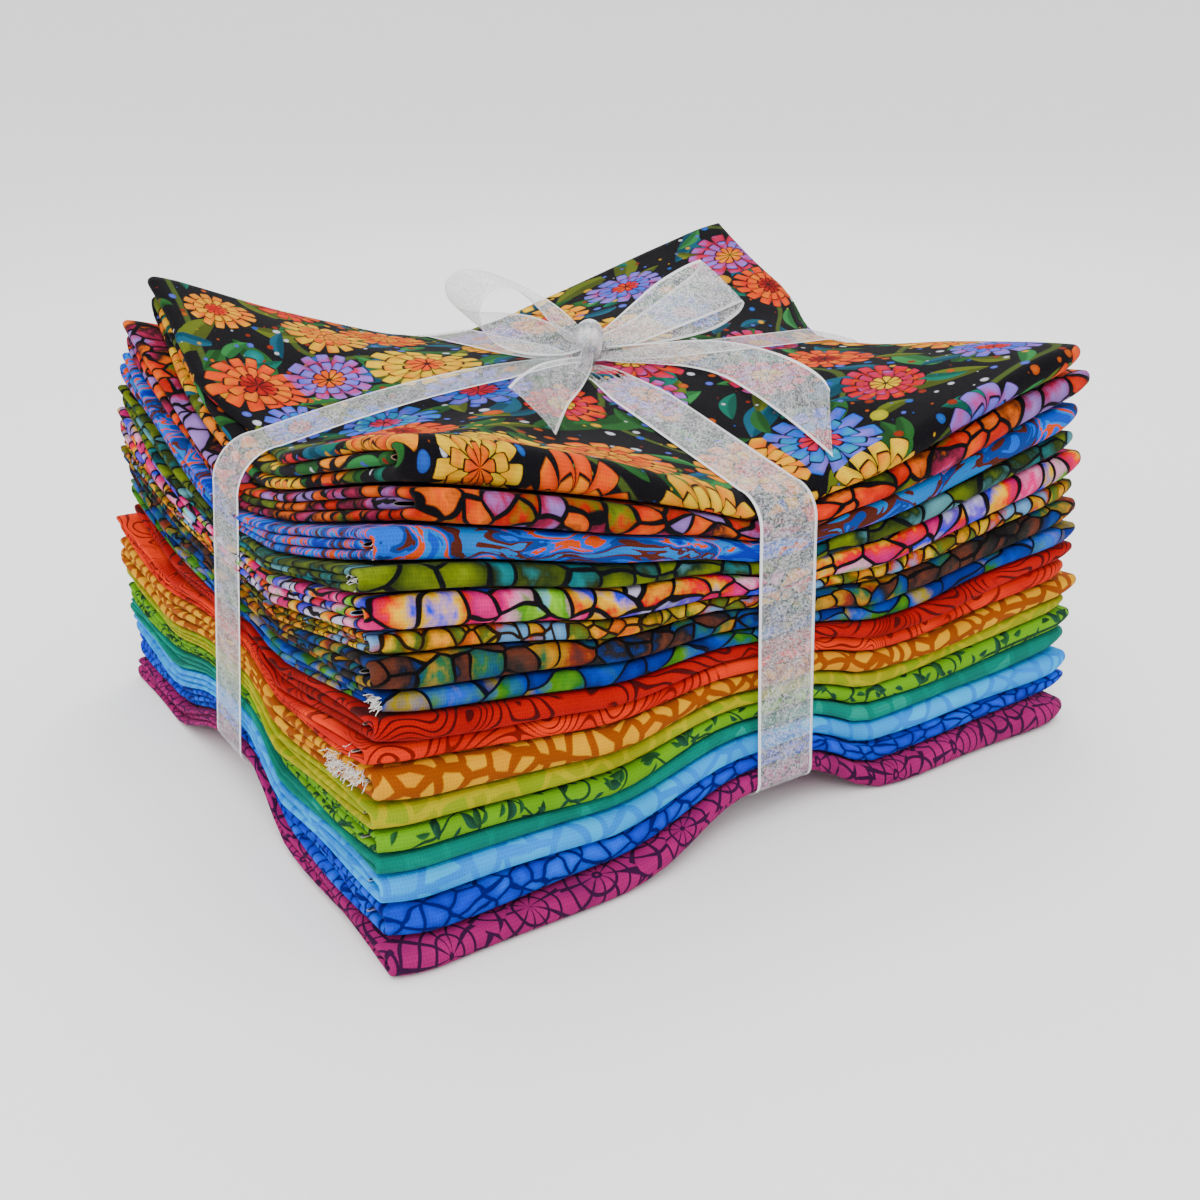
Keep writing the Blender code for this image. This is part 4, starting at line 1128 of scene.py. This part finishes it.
LONG_TAIL: tuple[Row, ...] = (
    ((4.5, -4.0, 3.0), (6.5, -0.5, 4.6)),
    ((9.0, -8.0, 2.0), (13.5, -2.5, 5.0)),
    ((18.5, -13.5, 1.7), (25.5, -5.5, 5.4)),
    ((25.5, -20.5, 1.7), (36.5, -10.0, 5.8)),
    ((28.5, -32.0, 1.9), (44.0, -20.5, 6.2)),
    ((27.2, -48.0, 1.9), (44.4, -37.5, 7.0)),
    ((25.2, -62.5, 1.6), (42.6, -51.5, 7.2)),
    ((23.2, -75.5, 1.2), (39.8, -62.0, 7.0)),
    ((21.1, -87.0, 1.0), (37.0, -68.0, 6.4)),
)
SHORT_TAIL: tuple[Row, ...] = (
    ((0.5, -5.5, 3.0), (-1.5, -3.0, 4.0)),
    ((-5.5, -14.0, 2.2), (-5.5, -7.5, 3.6)),
    ((-12.5, -21.0, 1.7), (-11.0, -9.0, 4.6)),
    ((-18.5, -26.5, 1.6), (-16.5, -11.0, 5.8)),
    ((-24.5, -32.0, 1.6), (-23.5, -15.0, 7.4)),
    ((-31.0, -39.5, 1.4), (-31.5, -22.0, 8.8)),
    ((-38.8, -49.5, 1.2), (-40.0, -30.5, 9.6)),
    ((-47.9, -61.8, 1.0), (-48.0, -39.5, 9.4)),
)


@dataclass
class RibbonBow:
    """The sheer ribbon: a tie round each way of the stack, the knot, two loops and two tails."""

    shape: StackShape
    finish: RibbonFinish = RibbonFinish()
    knot: tuple[float, float, float] = (2.0, -1.0, 114.4)
    knot_size: tuple[float, float, float] = (4.7, 5.0, 7.0)
    knot_tilt: float = 14.0
    pleat_depth: float = 0.16
    waist_depth: float = 0.10
    rise: float = 0.55
    standoff: float = 0.85
    low_bend: float = 4.5
    arch: float = 2.6
    loop_sheer: float = 0.30
    thickness: float = 0.14

    def build(self) -> list[bpy.types.Object]:
        organza = self.finish.material()
        crossed = replace(self.finish, name="ribbon_organza_loop", sheer=self.loop_sheer).material()
        shape = self.shape
        ends = self._tie(False, shape.half_short - 1.6 + self.standoff, shape.side_round, 0.0)
        sides = self._tie(True, shape.half_long + self.standoff, shape.end_round, 0.25)
        ties = [self._strip("ribbon_tie_ends", *ends, organza, True),
                self._strip("ribbon_tie_sides", *sides, organza, True)]
        bow = [self._strip(name, *self._smooth(rows, from_knot), look, False)
               for name, rows, from_knot, look in (
                   ("ribbon_left_loop", LEFT_LOOP, True, crossed),
                   ("ribbon_right_loop", RIGHT_LOOP, True, crossed),
                   ("ribbon_long_tail", LONG_TAIL, False, organza),
                   ("ribbon_short_tail", SHORT_TAIL, False, organza))]
        knot = self._knot()
        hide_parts(RIBBON_NODE)
        return [*ties, *bow, knot]

    def _tie(self, along_x: bool, face: float, bend: float, step: float) -> tuple[np.ndarray, np.ndarray]:
        """Give the two edges of a tie, from under the knot once round the stack.

        Args:
            along_x: Whether the tie runs along X, over the two ends of the stack.
            face: Distance of its upright stretches from the middle.
            bend: Radius of its soft bend over the stack's edge.
            step: A small lift, so that the two ties don't share a place where they cross.

        Returns:
            Points of the near edge and of the far edge, in millimetres.
        """
        first, second = self._half(along_x, face, bend, -1), self._half(along_x, face, bend, 1)
        route = np.array(first + second[::-1])
        route[:, 1] += step
        reach = np.abs(route[:, 0])
        on_top = route[:, 1] > 60
        width = np.where(on_top, np.interp(reach, (0, 6, 30), (7.0, 9.5, RIBBON_WIDTH)), RIBBON_WIDTH) / 2
        sway = 0.35 * np.sin(np.cumsum(np.hypot(*np.diff(route, axis=0, prepend=route[:1]).T)) / 31)
        across = np.stack([sway - width, sway + width])
        if along_x:
            edges = [np.stack([route[:, 0], line, route[:, 1]], axis=1) for line in across]
        else:
            edges = [np.stack([line, route[:, 0], route[:, 1]], axis=1) for line in across]
        return edges[0], edges[1]

    def _half(self, along_x: bool, face: float, bend: float, sign: int) -> list[Pair]:
        """Give half of a tie's route, from the middle of the top over one edge to the middle below."""
        high_face, low_face = (face - self.shape.lean_in(share, along_x) for share in (0.0, 1.0))
        start, low_start = high_face - bend, low_face - self.low_bend
        arch = self.arch if along_x and sign < 0 else 0.0

        def height(distance: float, above: bool) -> float:
            """Give the route's height above or below the stack."""
            place = np.array([sign * distance]), np.array([0.0])
            x, y = place if along_x else place[::-1]
            if above:
                bulge = arch * math.sin(math.pi * min(distance / start, 1.0))
                level = self.shape.top(x, y) + self.rise + bulge
            else:
                level = self.shape.bottom(x, y) - self.standoff + 0.4
            return float(max(level[0], 0.3))

        arc = np.radians(np.linspace(0, 90, 11))
        over = [(sign * d, height(d, True)) for d in np.linspace(0.5, start, 28)]
        upper, lower = height(start, True), height(low_start, False)
        round_over = [(sign * (start + bend * math.sin(a)), upper - bend * (1 - math.cos(a)))
                      for a in arc[1:]]
        foot, drop = lower + self.low_bend, upper - bend - lower - self.low_bend
        down = [(sign * (low_face + (high_face - low_face) * t), foot + drop * t)
                for t in np.linspace(1, 0, 20)[1:-1]]
        round_under = [(sign * (low_start + self.low_bend * math.sin(a)),
                        lower + self.low_bend * (1 - math.cos(a))) for a in arc[::-2]]
        under = [(sign * d, height(d, False)) for d in np.linspace(low_start, 0.0, 24)[1:]]
        return over + round_over + down + round_under + under

    def _smooth(self, rows: tuple[Row, ...], from_knot: bool) -> tuple[np.ndarray, np.ndarray]:
        """Run smooth edges through a table's rows, from the knot or above the cloth."""
        edges = []
        for side in (0, 1):
            points = np.array([row[side] for row in rows])
            if from_knot:
                points = points + np.array(self.knot)
            padded = np.vstack([2 * points[0] - points[1], points, 2 * points[-1] - points[-2]])
            dense = []
            for index in range(len(points) - 1):
                a, b, c, d = padded[index:index + 4]
                for t in np.linspace(0, 1, 7, endpoint=False):
                    dense.append(0.5 * (2 * b + (c - a) * t + (2 * a - 5 * b + 4 * c - d) * t ** 2
                                        + (3 * b - a - 3 * c + d) * t ** 3))
            dense = np.array([*dense, points[-1]])
            if not from_knot:
                dense[:, 2] += self.shape.top(dense[:, 0], dense[:, 1])
            edges.append(dense)
        return edges[0], edges[1]

    def _strip(self, name: str, near: np.ndarray, far: np.ndarray, organza: bpy.types.Material,
               is_tie: bool) -> bpy.types.Object:
        """Make one stretch of ribbon between two edges, pleated where it is gathered.

        Args:
            name: Name of the piece.
            near: Points of one edge, in millimetres.
            far: Points of the other edge.
            organza: The ribbon's material.
            is_tie: Whether this is a tie, which lies flat.

        Returns:
            The piece.
        """
        across = 16
        mesh, column, row = shaped_grid(name, across, len(near) - 1)
        share = column / across
        middle = (near + far) / 2
        run = np.concatenate([[0.0], np.cumsum(np.linalg.norm(np.diff(middle, axis=0), axis=1))])
        ahead = np.gradient(middle, axis=0)
        side = far - near
        width = np.linalg.norm(side, axis=1)
        normal = np.cross(side, ahead)
        normal /= np.linalg.norm(normal, axis=1)[:, None]
        gathered = np.clip(1 - width / RIBBON_WIDTH, 0, 1)
        pleat = (1.5 if is_tie else 2.4) * gathered[row] * np.sin(3 * 2 * np.pi * share + 0.7)
        crown = (0.25 if is_tie else 0.7) * (1 - (2 * share - 1) ** 2) * np.sin(run[row] / 9)
        points = near[row] + side[row] * share[:, None] + normal[row] * (np.abs(pleat) + crown)[:, None]
        cloth = np.stack([share * RIBBON_WIDTH, run[row] % CUT_LENGTH], axis=1)
        place_grid(mesh, points, cloth)
        piece = add_piece(name, mesh, [organza])
        piece["stretch"] = float(run[-1] * MM)
        wall = piece.modifiers.new("ribbon thickness", "SOLIDIFY")
        wall.thickness = self.thickness * MM
        wall.offset = 0.0
        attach(piece, BODY)
        LOG.info("%s: %.0f mm long", name, run[-1])
        return piece

    def _knot(self) -> bpy.types.Object:
        """Make the gathered knot: an upright, pleated band of ribbon."""
        bm = bmesh.new()
        bmesh.ops.create_uvsphere(bm, u_segments=64, v_segments=32, radius=1.0)
        tilt = Matrix.Rotation(math.radians(self.knot_tilt), 3, "Y")
        wide, deep, high = self.knot_size
        for vertex in bm.verts:
            angle = math.atan2(vertex.co.y, vertex.co.x)
            round_off = math.sqrt(max(0.0, 1 - vertex.co.z ** 2))
            fold = abs(math.sin(5 * angle + 0.7 * vertex.co.z)) - 0.5
            pleat = 1 + self.pleat_depth * fold * round_off
            waist = 1 - self.waist_depth * math.exp(-((vertex.co.z / 0.35) ** 2))
            place = Vector((vertex.co.x * wide * pleat * waist, vertex.co.y * deep * pleat * waist,
                            vertex.co.z * high))
            vertex.co = (tilt @ place + Vector(self.knot)) * MM
        layer = bm.loops.layers.uv.new("cloth")
        for face in bm.faces:
            for loop in face.loops:
                away = loop.vert.co / MM - Vector(self.knot)
                loop[layer].uv = ((9.5 + 0.9 * away.x) / CUT_LENGTH, (20 + away.z + away.y) / CUT_LENGTH)
        mesh = smooth_mesh(bm, "ribbon_knot")
        knot = add_piece("ribbon_knot", mesh, [self.finish.material(gathered=True)])
        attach(knot, BODY)
        return knot


@dataclass(frozen=True)
class Studio:
    """A plain pale floor, soft light from above and the camera."""

    eye: tuple[float, float, float] = (-0.2130, -0.3230, 0.1877)
    forward: tuple[float, float, float] = (0.5227, 0.7665, -0.3733)
    lens: float = 39.0
    floor_colour: str = "#f8f8f8"
    reach: float = 1.0
    rim: float = 3.2

    def camera(self) -> None:
        """Set the camera as the photograph was taken."""
        data = bpy.data.cameras.new("camera")
        data.lens = self.lens
        data.sensor_width = 36.0
        data.clip_start = 0.01
        camera = bpy.data.objects.new("camera", data)
        camera.location = self.eye
        camera.rotation_euler = Vector(self.forward).to_track_quat("-Z", "Y").to_euler()
        bpy.context.scene.collection.objects.link(camera)
        bpy.context.scene.camera = camera

    def floor(self) -> None:
        """Lay the floor, a paper dish whose rim curves up far behind the part on every side."""
        bm = bmesh.new()
        profile = [(0.0, 0.0), *((self.reach + self.rim * math.sin(a), self.rim * (1 - math.cos(a)))
                                 for a in np.radians(np.linspace(0, 84, 13)))]
        line = [bm.verts.new((x, 0.0, z)) for x, z in profile]
        edges = [bm.edges.new(pair) for pair in zip(line, line[1:])]
        bmesh.ops.spin(bm, geom=[*line, *edges], cent=(0, 0, 0), axis=(0, 0, 1), dvec=(0, 0, 0), angle=2 * math.pi,
                       steps=72, use_merge=True)
        bmesh.ops.remove_doubles(bm, verts=bm.verts[:], dist=1e-5)
        bmesh.ops.recalc_face_normals(bm, faces=bm.faces[:])
        if bm.faces[0].normal.z < 0:
            bmesh.ops.reverse_faces(bm, faces=bm.faces[:])
        mesh = smooth_mesh(bm, "floor")
        paper = {"Base Color": linear_colour(self.floor_colour), "Roughness": 0.9}
        material = start_material("floor_paper", paper)[0]
        add_piece("floor", mesh, [material])

    def lights(self) -> None:
        """Hang the soft lights and set the sky."""
        for name, place, aim, power, size in (
                ("key", (-0.45, -0.85, 1.10), (0, 0, 0.06), 11.5, 0.9),
                ("fill", (-1.10, 0.10, 0.75), (0, 0, 0.06), 5.0, 0.9),
                ("back", (0.70, 0.80, 0.95), (0, 0, 0.08), 6.0, 0.8),
                ("ceiling", (0.0, 0.0, 3.2), (0, 0, 0), 150.0, 4.5)):
            data = bpy.data.lights.new(name, "AREA")
            data.energy = power
            data.size = size
            lamp = bpy.data.objects.new(name, data)
            lamp.location = place
            lamp.rotation_euler = (Vector(aim) - Vector(place)).to_track_quat("-Z", "Y").to_euler()
            bpy.context.scene.collection.objects.link(lamp)
        world = bpy.data.worlds.new("studio")
        world.use_nodes = True
        sky = world.node_tree.nodes["Background"]
        sky.inputs["Color"].default_value = (1.0, 1.0, 1.0, 1.0)
        sky.inputs["Strength"].default_value = 0.50
        bpy.context.scene.world = world


def main() -> None:
    """Build the looks of the bundle, one sub-assembly after another."""
    logging.basicConfig(level=logging.INFO, format="%(message)s")
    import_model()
    studio = Studio()
    studio.camera()
    shape = StackShape()
    for index, cotton in enumerate(COTTONS):
        FoldedCotton(cotton, index, shape, fine=index == 0).build()
    RibbonBow(shape).build()
    studio.floor()
    studio.lights()


if __name__ == "__main__":
    main()
